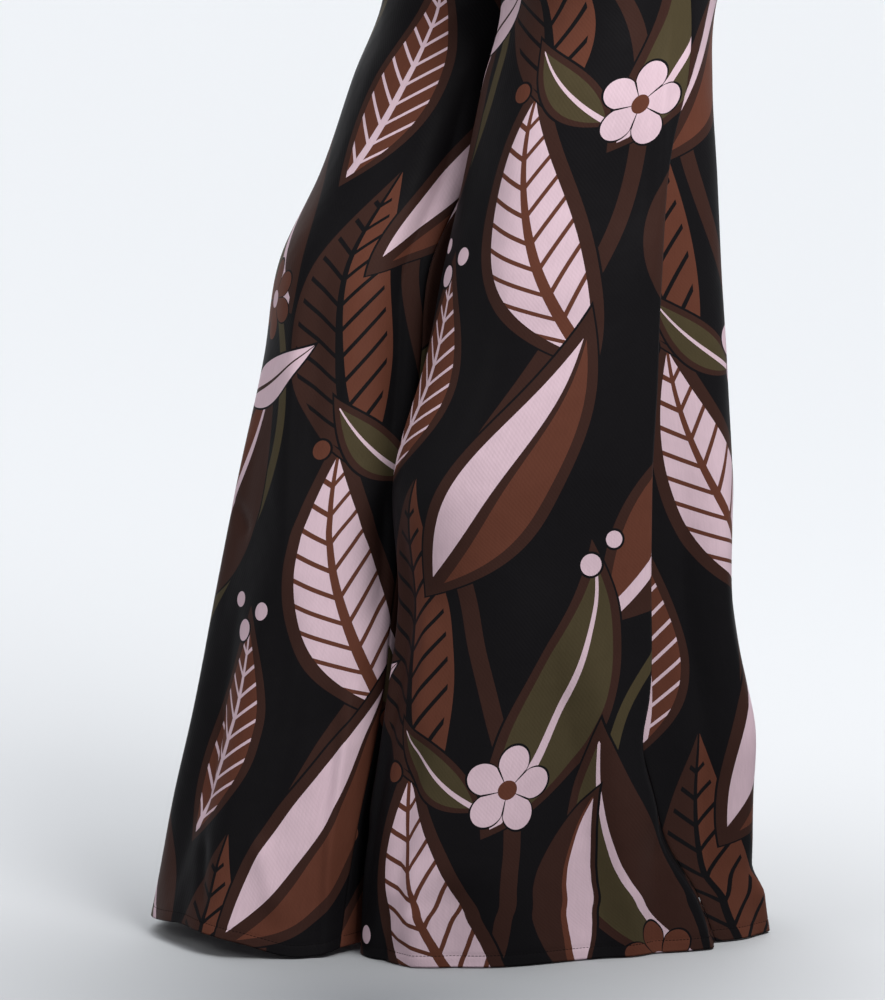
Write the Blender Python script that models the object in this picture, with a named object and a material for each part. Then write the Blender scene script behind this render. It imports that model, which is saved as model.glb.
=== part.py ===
"""Palazzo pants, worn in mid stride: a hollow garment of four panels and a gathered waistband.

Blender 4.5, metres, +Z up. The wearer faces -Y, with the left leg at +X. The origin is the middle
of the waist opening, level with the top edge of the waistband, and the floor lies WAIST_HEIGHT
below it. The left leg stands back, and the right leg steps forward and across.

Each leg is one tube of cloth. A point on it is given by its share of the way round, from the front
of the inseam (0) past the front, the side and the back to the inseam again (1), and by its height
above the floor. Above the fork the tube opens along the centre seam and becomes half of the hips.
"""

import math
from collections import namedtuple

import bmesh
import bpy
import numpy as np

COLLECTION = "Palazzo pants"

# ---------------------------------------------------------------- driving sizes
WAIST_HEIGHT = 1.120  # top edge of the waistband above the floor
BAND_HEIGHT = 0.040
SEAT_HEIGHT = 0.925  # where the curve of the centre seam has become upright
FORK_HEIGHT = 0.820  # where the two legs part
WALL = 0.0015
BAND_WALL = 0.0030
BAND_PROUD = 0.0008  # how far the waistband stands out of the panels below it
BAND_SECTION = 1.090  # height of the section of the hips that the waistband follows
SEAM_GAP = 0.0003
LEAST_GIRTH = 0.55  # round a thigh, where the seams' gaps take the largest share
LEG_CLEARANCE = 0.0012  # each leg's distance from the flat where the legs press together
HIP_SEAM = 0.52  # the side seam's share of the way round at the hips
LEG_SEAM = 0.53  # and at the hem, where no lap hides it
SEAM_TURN = (0.60, 0.90)  # heights between which the seam passes from one to the other
CENTRE_REACH = 0.20  # share over which the centre seam's curve fades into the thigh
PROBE = 0.0004  # step for a surface's slope: metres of height, or share of the way round

SHARP_ANGLE = math.radians(50)  # edges of the cloth that aren't shaded smooth

# ---------------------------------------------------------------- mesh fineness
PANEL_COLUMNS = 22
HIP_ROWS = 5
SEAT_ROWS = 6
LEG_ROWS = 20
BAND_COLUMNS = 88
LAP_CROWDING = 0.5  # how much closer the columns stand beside the lap, at the hem

# ---------------------------------------------------------------- hips, one row for each section
# side: half of the width; front, back: from the side seam's plane to the centre seams
Hip = namedtuple("Hip", "height side front back")
HIPS = (
    Hip(1.120, 0.132, 0.103, 0.105),
    Hip(1.080, 0.134, 0.104, 0.107),
    Hip(1.020, 0.155, 0.110, 0.118),
    Hip(0.960, 0.173, 0.114, 0.128),
    Hip(0.900, 0.182, 0.115, 0.132),
    Hip(0.820, 0.186, 0.113, 0.128),
)
HIP_SQUARE = 2.25  # of the hips' outline: 2 is an ellipse, more is boxier
HIP_RADIUS = 0.12  # at which the gathers rise by the heights in their table

# ---------------------------------------------------------------- legs, one row for each section
# out, ahead: the middle of the tube, from the midline outwards and from the side seam's plane
# forwards; inner, outer, front, back: from there to the cloth; square: 2 is an ellipse, more is
# boxier; turn: degrees that the toe side turns outwards
Ring = namedtuple("Ring", "height out ahead inner outer front back square turn")
LEFT_LEG = (
    Ring(0.925, 0.0870, -0.004, 0.0865, 0.097, 0.111, 0.122, 2.3, 0),
    Ring(0.820, 0.0870, -0.004, 0.0865, 0.100, 0.094, 0.107, 2.3, 0),
    Ring(0.770, 0.0870, -0.004, 0.0850, 0.099, 0.080, 0.092, 2.3, 0),
    Ring(0.700, 0.0880, 0.003, 0.0850, 0.098, 0.092, 0.094, 2.3, -1),
    Ring(0.620, 0.0880, 0.009, 0.0860, 0.098, 0.105, 0.105, 2.4, -2),
    Ring(0.550, 0.0880, 0.016, 0.0880, 0.099, 0.117, 0.117, 2.4, -3),
    Ring(0.470, 0.0880, 0.022, 0.0920, 0.101, 0.130, 0.128, 2.5, -4),
    Ring(0.380, 0.0880, 0.034, 0.0960, 0.103, 0.149, 0.144, 2.6, -5),
    Ring(0.280, 0.0880, 0.033, 0.1000, 0.106, 0.148, 0.141, 2.7, -6),
    Ring(0.180, 0.0890, 0.036, 0.1040, 0.109, 0.164, 0.158, 2.9, -6),
    Ring(0.090, 0.0900, 0.042, 0.1060, 0.112, 0.176, 0.163, 3.2, -5),
    Ring(0.000, 0.0900, 0.040, 0.1080, 0.114, 0.184, 0.176, 3.4, -5),
)
RIGHT_LEG = (
    Ring(0.925, 0.0870, -0.004, 0.0865, 0.097, 0.120, 0.118, 2.3, 0),
    Ring(0.820, 0.0870, -0.004, 0.0865, 0.099, 0.112, 0.103, 2.3, 0),
    Ring(0.770, 0.0860, 0.020, 0.0850, 0.098, 0.084, 0.090, 2.2, 2),
    Ring(0.700, 0.0780, 0.045, 0.0850, 0.099, 0.091, 0.100, 2.2, 4),
    Ring(0.620, 0.0680, 0.070, 0.0860, 0.102, 0.101, 0.116, 2.2, 6),
    Ring(0.550, 0.0590, 0.104, 0.0880, 0.105, 0.107, 0.130, 2.2, 8),
    Ring(0.470, 0.0490, 0.114, 0.0920, 0.109, 0.115, 0.142, 2.2, 9),
    Ring(0.380, 0.0370, 0.126, 0.0960, 0.114, 0.124, 0.154, 2.3, 10),
    Ring(0.280, 0.0240, 0.142, 0.1020, 0.119, 0.133, 0.166, 2.3, 11),
    Ring(0.180, 0.0110, 0.159, 0.1080, 0.126, 0.141, 0.176, 2.3, 12),
    Ring(0.090, 0.0000, 0.181, 0.1120, 0.130, 0.145, 0.186, 2.3, 13),
    Ring(0.000, -0.0100, 0.198, 0.1150, 0.132, 0.152, 0.194, 2.3, 13),
)

# ---------------------------------------------------------------- the flat between the legs
# shift: from midway between the middles of the two tubes, towards the left leg; heading: of the
# flat's normal, in degrees from +X towards the back; soft: how gently the cloth rounds into it
Flat = namedtuple("Flat", "height shift heading soft")
FLATS = (
    Flat(0.820, 0.000, 0, 0.0005),
    Flat(0.770, 0.000, 4, 0.0120),
    Flat(0.620, 0.000, 14, 0.0200),
    Flat(0.380, -0.003, 24, 0.0240),
    Flat(0.180, -0.008, 29, 0.0200),
    Flat(0.000, -0.012, 31, 0.0160),
)

# ---------------------------------------------------------------- folds
# top_share, hem_share: where the fold lies; top: the height where it starts; width: share of the
# way round; rise: out of the cloth at the hem, negative for a trough
Fold = namedtuple("Fold", "top_share hem_share top width rise")
LEFT_FOLDS = (
    Fold(0.28, 0.250, 0.70, 0.030, 0.004),
    Fold(0.36, 0.345, 0.50, 0.035, -0.005),
    Fold(0.42, 0.430, 0.60, 0.040, 0.005),
    Fold(0.63, 0.625, 0.72, 0.030, 0.008),
    Fold(0.70, 0.710, 0.80, 0.030, -0.014),
    Fold(0.78, 0.790, 0.80, 0.035, 0.010),
    Fold(0.86, 0.880, 0.78, 0.030, -0.008),
)
RIGHT_FOLDS = (
    Fold(0.14, 0.120, 0.45, 0.028, 0.006),
    Fold(0.20, 0.190, 0.52, 0.030, -0.006),
    Fold(0.30, 0.290, 0.52, 0.030, 0.004),
    Fold(0.40, 0.400, 0.72, 0.032, -0.010),
    Fold(0.48, 0.480, 0.78, 0.034, 0.009),
    Fold(0.56, 0.560, 0.80, 0.030, -0.014),
    Fold(0.64, 0.650, 0.80, 0.036, 0.010),
    Fold(0.74, 0.740, 0.78, 0.030, -0.012),
    Fold(0.83, 0.830, 0.70, 0.034, 0.006),
)
# The deep lap down the side, where the cloth behind the edge lies further in.
Lap = namedtuple("Lap", "height share depth")
LEFT_LAP = (
    Lap(0.820, 0.605, 0.000),
    Lap(0.745, 0.588, 0.010),
    Lap(0.660, 0.545, 0.018),
    Lap(0.530, 0.539, 0.026),
    Lap(0.330, 0.544, 0.032),
    Lap(0.210, 0.539, 0.034),
    Lap(0.175, 0.532, 0.034),
    Lap(0.125, 0.544, 0.032),
    Lap(0.080, 0.556, 0.029),
    Lap(0.045, 0.573, 0.026),
    Lap(0.000, 0.582, 0.022),
)
LAP_EDGE = 0.016  # share of the way round over which the cloth turns in
LAP_REACH = 0.13  # share over which it comes back out
# Gathers under the waistband
GATHERS = 9  # on each half of the hips
Gather = namedtuple("Gather", "height rise")
GATHER_RISES = (
    Gather(1.080, 0.0010),
    Gather(1.050, 0.0035),
    Gather(0.990, 0.0022),
    Gather(0.925, 0.0),
)

# ---------------------------------------------------------------- hem heights above the floor
Hem = namedtuple("Hem", "share height")
LEFT_HEM = (Hem(0.0, 0.004), Hem(0.25, 0.001), Hem(0.45, 0.001), Hem(0.70, 0.002), Hem(1.0, 0.004))
RIGHT_HEM = (
    Hem(0.00, 0.006),
    Hem(0.06, 0.002),
    Hem(0.11, 0.014),
    Hem(0.17, 0.019),
    Hem(0.28, 0.012),
    Hem(0.50, 0.012),
    Hem(0.75, 0.008),
    Hem(1.00, 0.006),
)
HEM_REACH = 0.20  # height above which the rows are level

# ---------------------------------------------------------------- finishes, in linear colour
Finish = namedtuple("Finish", "colour roughness")
PANEL_TWILL = Finish((0.060, 0.032, 0.028), 0.45)  # the print's colours, run together
BAND_TWILL = Finish((0.014, 0.013, 0.014), 0.45)

# ---------------------------------------------------------------- the two legs
# sign: of X on the leg's side
Side = namedtuple("Side", "name sign rings folds lap hem")
LEFT = Side("left", 1, LEFT_LEG, LEFT_FOLDS, LEFT_LAP, LEFT_HEM)
RIGHT = Side("right", -1, RIGHT_LEG, RIGHT_FOLDS, (), RIGHT_HEM)


def between(rows, column, at, key="height"):
    """A table's column anywhere between its rows, on a smooth curve through them."""
    rows = sorted(rows, key=lambda row: getattr(row, key))
    place = np.array([getattr(row, key) for row in rows], float)
    value = np.array([getattr(row, column) for row in rows], float)
    slope = np.gradient(value, place)
    at = np.clip(at, place[0], place[-1])
    low = np.clip(np.searchsorted(place, at, side="right") - 1, 0, len(place) - 2)
    step = place[low + 1] - place[low]
    t = (at - place[low]) / step
    return (
        (2 * t**3 - 3 * t**2 + 1) * value[low]
        + (t**3 - 2 * t**2 + t) * step * slope[low]
        + (3 * t**2 - 2 * t**3) * value[low + 1]
        + (t**3 - t**2) * step * slope[low + 1]
    )


def ease(t):
    """0 to 1 with level ends."""
    t = np.clip(t, 0.0, 1.0)
    return t * t * (3 - 2 * t)


def tube(side, share, height):
    """A leg's plan points, seen as a left leg, before its folds and before the legs press."""
    around = 2 * math.pi * share
    inwards, ahead = np.cos(around), np.sin(around)
    square = between(side.rings, "square", height)
    radius = (np.abs(inwards) ** square + np.abs(ahead) ** square) ** (-1 / square)
    across = np.where(
        inwards > 0, between(side.rings, "inner", height), between(side.rings, "outer", height)
    )
    along = np.where(
        ahead > 0, between(side.rings, "front", height), between(side.rings, "back", height)
    )
    x = -inwards * radius * across
    y = -ahead * radius * along
    turn = np.radians(between(side.rings, "turn", height))
    return np.stack(
        (
            between(side.rings, "out", height) + x * np.cos(turn) - y * np.sin(turn),
            -between(side.rings, "ahead", height) + x * np.sin(turn) + y * np.cos(turn),
        ),
        axis=-1,
    )


def fold_rise(side, share, height):
    """How far the folds and the lap move the cloth out of a leg's plain tube."""
    rise = np.zeros(np.broadcast(share, height).shape)
    for fold in side.folds:
        grown = ease((fold.top - height) / fold.top)
        middle = fold.hem_share + (fold.top_share - fold.hem_share) * height / fold.top
        away = (share - middle + 0.5) % 1.0 - 0.5
        rise += fold.rise * grown * np.exp(-((away / fold.width) ** 2))
    if side.lap:
        behind = share - between(side.lap, "share", height)
        turned_in = ease(behind / LAP_EDGE) * (1 - ease((behind - LAP_EDGE) / LAP_REACH))
        rise -= between(side.lap, "depth", height) * turned_in
    return rise


def leg_plan(side, share, height):
    """A leg's plan points in place, folded, and pressed against the flat between the legs."""
    plan = tube(side, share, height)
    along = tube(side, share + PROBE, height) - tube(side, share - PROBE, height)
    outward = np.stack((-along[..., 1], along[..., 0]), axis=-1)
    outward /= -np.linalg.norm(outward, axis=-1, keepdims=True)
    plan = plan + fold_rise(side, share, height)[..., None] * outward
    plan[..., 0] *= side.sign
    middle = 0.5 * np.stack(
        (
            between(LEFT_LEG, "out", height) - between(RIGHT_LEG, "out", height),
            -between(LEFT_LEG, "ahead", height) - between(RIGHT_LEG, "ahead", height),
        ),
        axis=-1,
    )
    heading = np.radians(between(FLATS, "heading", height))
    normal = side.sign * np.stack((np.cos(heading), np.sin(heading)), axis=-1)
    shift = side.sign * between(FLATS, "shift", height)
    clear = np.sum((plan - middle) * normal, axis=-1) - shift - LEG_CLEARANCE
    soft = between(FLATS, "soft", height)
    pressed = 0.5 * (clear + np.sqrt(clear**2 + soft**2))
    return plan + (pressed - clear)[..., None] * normal


def hip_plan(side, share, height):
    """Half of the hips, from the centre front round the side to the centre back."""
    around = math.pi * share
    outwards, ahead = np.sin(around), np.cos(around)
    radius = (np.abs(outwards) ** HIP_SQUARE + np.abs(ahead) ** HIP_SQUARE) ** (-1 / HIP_SQUARE)
    along = np.where(ahead > 0, between(HIPS, "front", height), between(HIPS, "back", height))
    gathered = between(GATHER_RISES, "rise", height) / HIP_RADIUS
    swell = 1 + gathered * np.cos(2 * math.pi * GATHERS * share)
    return np.stack(
        (
            side.sign * outwards * radius * between(HIPS, "side", height) * swell,
            -ahead * radius * along * swell,
        ),
        axis=-1,
    )


def side_seam(side, height):
    """The side seam's share of the way round: it lies in the corner behind the lap."""
    leg = between(side.lap, "share", height) + LAP_EDGE if side.lap else LEG_SEAM
    return leg + (HIP_SEAM - leg) * ease((height - SEAM_TURN[0]) / (SEAM_TURN[1] - SEAM_TURN[0]))


def cloth(side, share, height):
    """Points on the outside of the cloth."""
    risen = np.clip((height - FORK_HEIGHT) / (SEAT_HEIGHT - FORK_HEIGHT), 0.0, 1.0)
    curved = np.sqrt(1 - (1 - risen) ** 2)
    from_centre = 0.5 - np.abs((share % 1.0) - 0.5)
    joined = (curved + (ease(risen) - curved) * ease(from_centre / CENTRE_REACH))[..., None]
    plan = (1 - joined) * leg_plan(side, share, height) + joined * hip_plan(side, share, height)
    hem = between(side.hem, "height", share % 1.0, key="share")
    lifted = height + hem * (1 - np.clip(height / HEM_REACH, 0.0, 1.0)) ** 2
    return np.concatenate((plan, (lifted - WAIST_HEIGHT)[..., None]), axis=-1)


def cloth_normal(side, share, height):
    """Directions out of the cloth, square to it. Up to the fork the slope is the leg's own."""
    above = np.where(height > FORK_HEIGHT, height + PROBE, height)
    along = cloth(side, share + PROBE, height) - cloth(side, share - PROBE, height)
    upward = cloth(side, share, above) - cloth(side, share, height - PROBE)
    normal = side.sign * np.cross(along, upward)
    return normal / np.linalg.norm(normal, axis=-1, keepdims=True)


def row_heights():
    """Heights of the rows of cells: even, but on the centre seam's curve by equal angles."""
    top = WAIST_HEIGHT - BAND_HEIGHT - SEAM_GAP
    hips = np.linspace(top, SEAT_HEIGHT, HIP_ROWS + 1)[:-1]
    angle = np.linspace(math.pi / 2, 0.0, SEAT_ROWS + 1)
    seat = FORK_HEIGHT + (SEAT_HEIGHT - FORK_HEIGHT) * (1 - np.cos(angle))
    legs = np.linspace(FORK_HEIGHT, 0.0, LEG_ROWS + 1)[1:]
    return np.concatenate((hips, seat, legs))


def panel(side, face):
    """A front or back panel, from the waistband to the hem and from the side to the centre."""
    heights = row_heights()
    rows = len(heights) - 1
    mesh = bmesh.new()
    bmesh.ops.create_grid(mesh, x_segments=PANEL_COLUMNS, y_segments=rows, size=0.5)
    made = bmesh.ops.extrude_face_region(mesh, geom=mesh.faces[:], use_keep_orig=True)
    inner = {vert for vert in made["geom"] if isinstance(vert, bmesh.types.BMVert)}
    verts = mesh.verts[:]
    flat = np.array([vert.co[:2] for vert in verts]) + 0.5
    is_inner = np.array([vert in inner for vert in verts])
    height = heights[np.rint((1 - flat[:, 1]) * rows).astype(int)]
    crowding = LAP_CROWDING * ease(1 - height / FORK_HEIGHT) if side.lap else 0.0
    from_seam = flat[:, 0] ** (1 + crowding)
    seam = side_seam(side, height)
    gap = SEAM_GAP / 2 / LEAST_GIRTH
    if face == "front":
        share = np.clip(seam * (1 - from_seam), gap, seam - gap)
    else:
        share = np.clip(seam + (1 - seam) * from_seam, seam + gap, 1 - gap)
    points = cloth(side, share, height)
    points[is_inner] -= WALL * cloth_normal(side, share, height)[is_inner]
    at_centre = (height >= FORK_HEIGHT) & (side.sign * points[:, 0] < SEAM_GAP / 2)
    points[at_centre, 0] = side.sign * SEAM_GAP / 2
    for vert, point in zip(verts, points):
        vert.co = point
    bmesh.ops.recalc_face_normals(mesh, faces=mesh.faces[:])
    add_object(f"{face}_{side.name}", mesh, PANEL_TWILL)


def waistband():
    """A closed band, gathered with the panels, standing on their top edges."""
    mesh = bmesh.new()
    half = BAND_COLUMNS // 2
    share = np.linspace(0.0, 1.0, half + 1)
    left_half, right_half = (hip_plan(side, share, BAND_SECTION) for side in (LEFT, RIGHT))
    outline = np.concatenate((left_half[:-1], right_half[:0:-1]))
    following = np.roll(outline, -1, axis=0) - np.roll(outline, 1, axis=0)
    normal = np.stack((following[:, 1], -following[:, 0]), axis=-1)
    normal /= np.linalg.norm(normal, axis=-1, keepdims=True)
    outer = outline + BAND_PROUD * normal
    inner = outer - BAND_WALL * normal
    rims = []
    for plan, z in ((outer, -BAND_HEIGHT), (outer, 0.0), (inner, 0.0), (inner, -BAND_HEIGHT)):
        ring = [mesh.verts.new((x, y, z)) for x, y in plan]
        rims.append([mesh.edges.new((a, b)) for a, b in zip(ring, ring[1:] + ring[:1])])
    for low, high in zip(rims, rims[1:] + rims[:1]):
        bmesh.ops.bridge_loops(mesh, edges=low + high)
    bmesh.ops.recalc_face_normals(mesh, faces=mesh.faces[:])
    add_object("waistband", mesh, BAND_TWILL)


def silk(name, finish):
    material = bpy.data.materials.new(f"Silk twill, {name}")
    material.use_nodes = True
    shader = material.node_tree.nodes["Principled BSDF"]
    shader.inputs["Base Color"].default_value = (*finish.colour, 1.0)
    shader.inputs["Roughness"].default_value = finish.roughness
    shader.inputs["Metallic"].default_value = 0.0
    return material


def add_object(name, mesh, finish):
    data = bpy.data.meshes.new(name)
    mesh.to_mesh(data)
    mesh.free()
    data.shade_smooth()
    data.set_sharp_from_angle(angle=SHARP_ANGLE)
    data.materials.append(silk(name, finish))
    bpy.data.collections[COLLECTION].objects.link(bpy.data.objects.new(name, data))


def main():
    for thing in list(bpy.data.objects):
        bpy.data.objects.remove(thing, do_unlink=True)
    bpy.context.scene.collection.children.link(bpy.data.collections.new(COLLECTION))
    for side in (LEFT, RIGHT):
        for face in ("front", "back"):
            panel(side, face)
    waistband()


if __name__ == "__main__":
    main()
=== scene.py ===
"""Palazzo pants, worn in mid stride, dressed in printed silk twill.

Laid out as a Blender 4.5 add-on and run as a script, in metres, +Z up. The wearer faces -Y, with the
left leg at +X. The origin is the middle of the waist opening, level with the waistband's top edge.

A point on a leg is given by its share of the way round, from the front of the inseam (0) past the
front, the side and the back to the inseam again (1), and by its height above the floor. Four panels
of thin cloth follow the garment's own sections, with their creases, seam allowances and turned hems,
and a gathered casing makes the waistband.
"""

import math
from collections import namedtuple

import bmesh
import bpy
import numpy as np
from bpy.props import FloatProperty, FloatVectorProperty, PointerProperty
from mathutils import Matrix, Vector


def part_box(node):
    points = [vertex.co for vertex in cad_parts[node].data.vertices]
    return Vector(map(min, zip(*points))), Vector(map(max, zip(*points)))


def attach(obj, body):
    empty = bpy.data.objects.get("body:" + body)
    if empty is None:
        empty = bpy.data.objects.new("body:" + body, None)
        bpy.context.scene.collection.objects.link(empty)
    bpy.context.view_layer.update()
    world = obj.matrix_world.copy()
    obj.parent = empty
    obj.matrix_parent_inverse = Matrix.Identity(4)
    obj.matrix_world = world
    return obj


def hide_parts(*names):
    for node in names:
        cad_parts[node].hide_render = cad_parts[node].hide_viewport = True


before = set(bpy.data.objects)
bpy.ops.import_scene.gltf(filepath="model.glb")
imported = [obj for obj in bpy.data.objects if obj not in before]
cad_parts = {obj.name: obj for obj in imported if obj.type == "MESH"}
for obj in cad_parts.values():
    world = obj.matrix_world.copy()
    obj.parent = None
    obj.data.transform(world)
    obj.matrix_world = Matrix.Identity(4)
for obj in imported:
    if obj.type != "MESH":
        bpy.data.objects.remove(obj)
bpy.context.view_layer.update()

bl_info = {
    "name": "Palazzo pants",
    "version": (1, 0, 0),
    "blender": (4, 5, 0),
    "location": "View3D > Sidebar > Palazzo pants",
    "description": "Wide pull-on pants in printed silk twill, worn in mid stride",
    "category": "Object",
}

MM = 0.001
WHOLE_TURN = 2 * math.pi


def table(kind, *rows):
    """Rows of values under the names of their columns."""
    return tuple(kind(*row) for row in rows)


# ---- driving sizes
BAND_LOW, BAND_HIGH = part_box("waistband")
BAND_HEIGHT = BAND_HIGH[2] - BAND_LOW[2]
WAIST_HEIGHT = 1.120  # top edge of the waistband above the floor
SEAT_HEIGHT = 0.925  # where the curve of the centre seam has become upright
FORK_HEIGHT = 0.820  # where the two legs part
BAND_SECTION = 1.090  # height of the section of the hips that the waistband follows
BAND_PROUD = 0.0008  # how far the casing stands out from that section
BAND_TUCK = 0.006  # how far the panels reach up inside the casing
SEAM_GAP = 0.0003  # between two panels
LEAST_GIRTH = 0.55  # round the narrowest leg, for the gap at a seam
LEG_CLEARANCE = 0.0012  # from each leg to the flat between the two
# Where the side seam lies, as a share of the way round, and the heights between which it changes.
HIP_SEAM, LEG_SEAM = 0.52, 0.53
SEAM_TURN = (0.60, 0.90)
CENTRE_REACH = 0.20  # share of the way round over which the curve of the centre seam fades
PROBE = 0.0004  # step on either side of a point, for slopes

# ---- mesh fineness
PANEL_COLUMNS = 140
HIP_ROWS, SEAT_ROWS, LEG_ROWS, HEM_ROWS = 42, 34, 186, 14
HEM_ZONE = 0.020  # height of the rows that are crowded at the hem
EDGE_CROWDING = 0.72  # 0 spaces the columns evenly, 1 crowds them most at the seams
GIRTH_STEPS = 60  # round a leg, to measure it
HEM_LINE_POINTS = 600  # along the hem of a panel, for its stitching
BAND_COLUMNS, BAND_PROFILE = 720, 24
STITCH_AROUND, STITCH_ALONG = 6, 4

# ---- hips and legs, section by section: sizes in metres, turn in degrees
Hip = namedtuple("Hip", "height side front back")
HIPS = table(
    Hip,
    (1.120, 0.132, 0.103, 0.105),
    (1.080, 0.134, 0.104, 0.107),
    (1.020, 0.155, 0.110, 0.118),
    (0.960, 0.173, 0.114, 0.128),
    (0.900, 0.182, 0.115, 0.132),
    (0.820, 0.186, 0.113, 0.128),
)
HIP_SQUARE = 2.25  # how square the hips' section is: 2 is an ellipse
HIP_RADIUS = 0.12  # the gathers' rise is taken as a share of this

# out and ahead: the middle of the section; inner to back: how far it reaches; square as for the hips.
Ring = namedtuple("Ring", "height out ahead inner outer front back square turn")
LEFT_LEG = table(
    Ring,
    (0.925, 0.0870, -0.004, 0.0865, 0.097, 0.111, 0.122, 2.3, 0),
    (0.820, 0.0870, -0.004, 0.0865, 0.100, 0.094, 0.107, 2.3, 0),
    (0.770, 0.0870, -0.004, 0.0850, 0.099, 0.080, 0.092, 2.3, 0),
    (0.700, 0.0880, 0.003, 0.0850, 0.098, 0.092, 0.094, 2.3, -1),
    (0.620, 0.0880, 0.009, 0.0860, 0.098, 0.105, 0.105, 2.4, -2),
    (0.550, 0.0880, 0.016, 0.0880, 0.099, 0.117, 0.117, 2.4, -3),
    (0.470, 0.0880, 0.022, 0.0920, 0.101, 0.130, 0.128, 2.5, -4),
    (0.380, 0.0880, 0.034, 0.0960, 0.103, 0.149, 0.144, 2.6, -5),
    (0.280, 0.0880, 0.033, 0.1000, 0.106, 0.148, 0.141, 2.7, -6),
    (0.180, 0.0890, 0.036, 0.1040, 0.109, 0.164, 0.158, 2.9, -6),
    (0.090, 0.0900, 0.042, 0.1060, 0.112, 0.176, 0.163, 3.2, -5),
    (0.000, 0.0900, 0.040, 0.1080, 0.114, 0.184, 0.176, 3.4, -5),
)
RIGHT_LEG = table(
    Ring,
    (0.925, 0.0870, -0.004, 0.0865, 0.097, 0.120, 0.118, 2.3, 0),
    (0.820, 0.0870, -0.004, 0.0865, 0.099, 0.112, 0.103, 2.3, 0),
    (0.770, 0.0860, 0.020, 0.0850, 0.098, 0.084, 0.090, 2.2, 2),
    (0.700, 0.0780, 0.045, 0.0850, 0.099, 0.091, 0.100, 2.2, 4),
    (0.620, 0.0680, 0.070, 0.0860, 0.102, 0.101, 0.116, 2.2, 6),
    (0.550, 0.0590, 0.104, 0.0880, 0.105, 0.107, 0.130, 2.2, 8),
    (0.470, 0.0490, 0.114, 0.0920, 0.109, 0.115, 0.142, 2.2, 9),
    (0.380, 0.0370, 0.126, 0.0960, 0.114, 0.124, 0.154, 2.3, 10),
    (0.280, 0.0240, 0.142, 0.1020, 0.119, 0.133, 0.166, 2.3, 11),
    (0.180, 0.0110, 0.159, 0.1080, 0.126, 0.141, 0.176, 2.3, 12),
    (0.090, 0.0000, 0.181, 0.1120, 0.130, 0.145, 0.186, 2.3, 13),
    (0.000, -0.0100, 0.198, 0.1150, 0.132, 0.152, 0.194, 2.3, 13),
)

# The flat where the legs press together: how far it moves and turns, and how softly it is met.
Flat = namedtuple("Flat", "height shift heading soft")
FLATS = table(
    Flat,
    (0.820, 0.000, 0, 0.0005),
    (0.770, 0.000, 4, 0.0120),
    (0.620, 0.000, 14, 0.0200),
    (0.380, -0.003, 24, 0.0240),
    (0.180, -0.008, 29, 0.0200),
    (0.000, -0.012, 31, 0.0160),
)

# ---- the largest folds, in the sections
Fold = namedtuple("Fold", "top_share hem_share top width rise")
LEFT_FOLDS = table(
    Fold,
    (0.28, 0.250, 0.70, 0.030, 0.004),
    (0.36, 0.345, 0.50, 0.035, -0.005),
    (0.42, 0.430, 0.60, 0.040, 0.005),
    (0.63, 0.625, 0.72, 0.030, 0.008),
    (0.70, 0.710, 0.80, 0.030, -0.014),
    (0.78, 0.790, 0.80, 0.035, 0.010),
    (0.86, 0.880, 0.78, 0.030, -0.008),
)
RIGHT_FOLDS = table(
    Fold,
    (0.14, 0.120, 0.45, 0.028, 0.006),
    (0.20, 0.190, 0.52, 0.030, -0.006),
    (0.30, 0.290, 0.52, 0.030, 0.004),
    (0.40, 0.400, 0.72, 0.032, -0.010),
    (0.48, 0.480, 0.78, 0.034, 0.009),
    (0.56, 0.560, 0.80, 0.030, -0.014),
    (0.64, 0.650, 0.80, 0.036, 0.010),
    (0.74, 0.740, 0.78, 0.030, -0.012),
    (0.83, 0.830, 0.70, 0.034, 0.006),
)
# The deep lap down the side of the left leg.
Lap = namedtuple("Lap", "height share depth")
LEFT_LAP = table(
    Lap,
    (0.820, 0.605, 0.000),
    (0.745, 0.588, 0.010),
    (0.660, 0.545, 0.018),
    (0.530, 0.539, 0.026),
    (0.330, 0.544, 0.032),
    (0.210, 0.539, 0.034),
    (0.175, 0.532, 0.034),
    (0.125, 0.544, 0.032),
    (0.080, 0.556, 0.029),
    (0.045, 0.573, 0.026),
    (0.000, 0.582, 0.022),
)
LAP_EDGE = 0.016  # share of the way round over which the cloth turns in behind the lap
LAP_REACH = 0.13  # share over which it comes out again
GATHERS = 9  # large gathers under the waistband, on each half of the hips
Gather = namedtuple("Gather", "height rise")
GATHER_RISES = table(Gather, (1.080, 0.0010), (1.050, 0.0035), (0.990, 0.0022), (0.925, 0.0))

# Height of each hem above the floor.
Hem = namedtuple("Hem", "share height")
LEFT_HEM = table(Hem, (0.0, 0.004), (0.25, 0.001), (0.45, 0.001), (0.70, 0.002), (1.0, 0.004))
RIGHT_HEM = table(
    Hem,
    (0.00, 0.006),
    (0.06, 0.002),
    (0.11, 0.014),
    (0.17, 0.019),
    (0.28, 0.012),
    (0.50, 0.012),
    (0.75, 0.008),
    (1.00, 0.006),
)
HEM_REACH = 0.20  # height up to which a raised hem lifts the cloth

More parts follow.
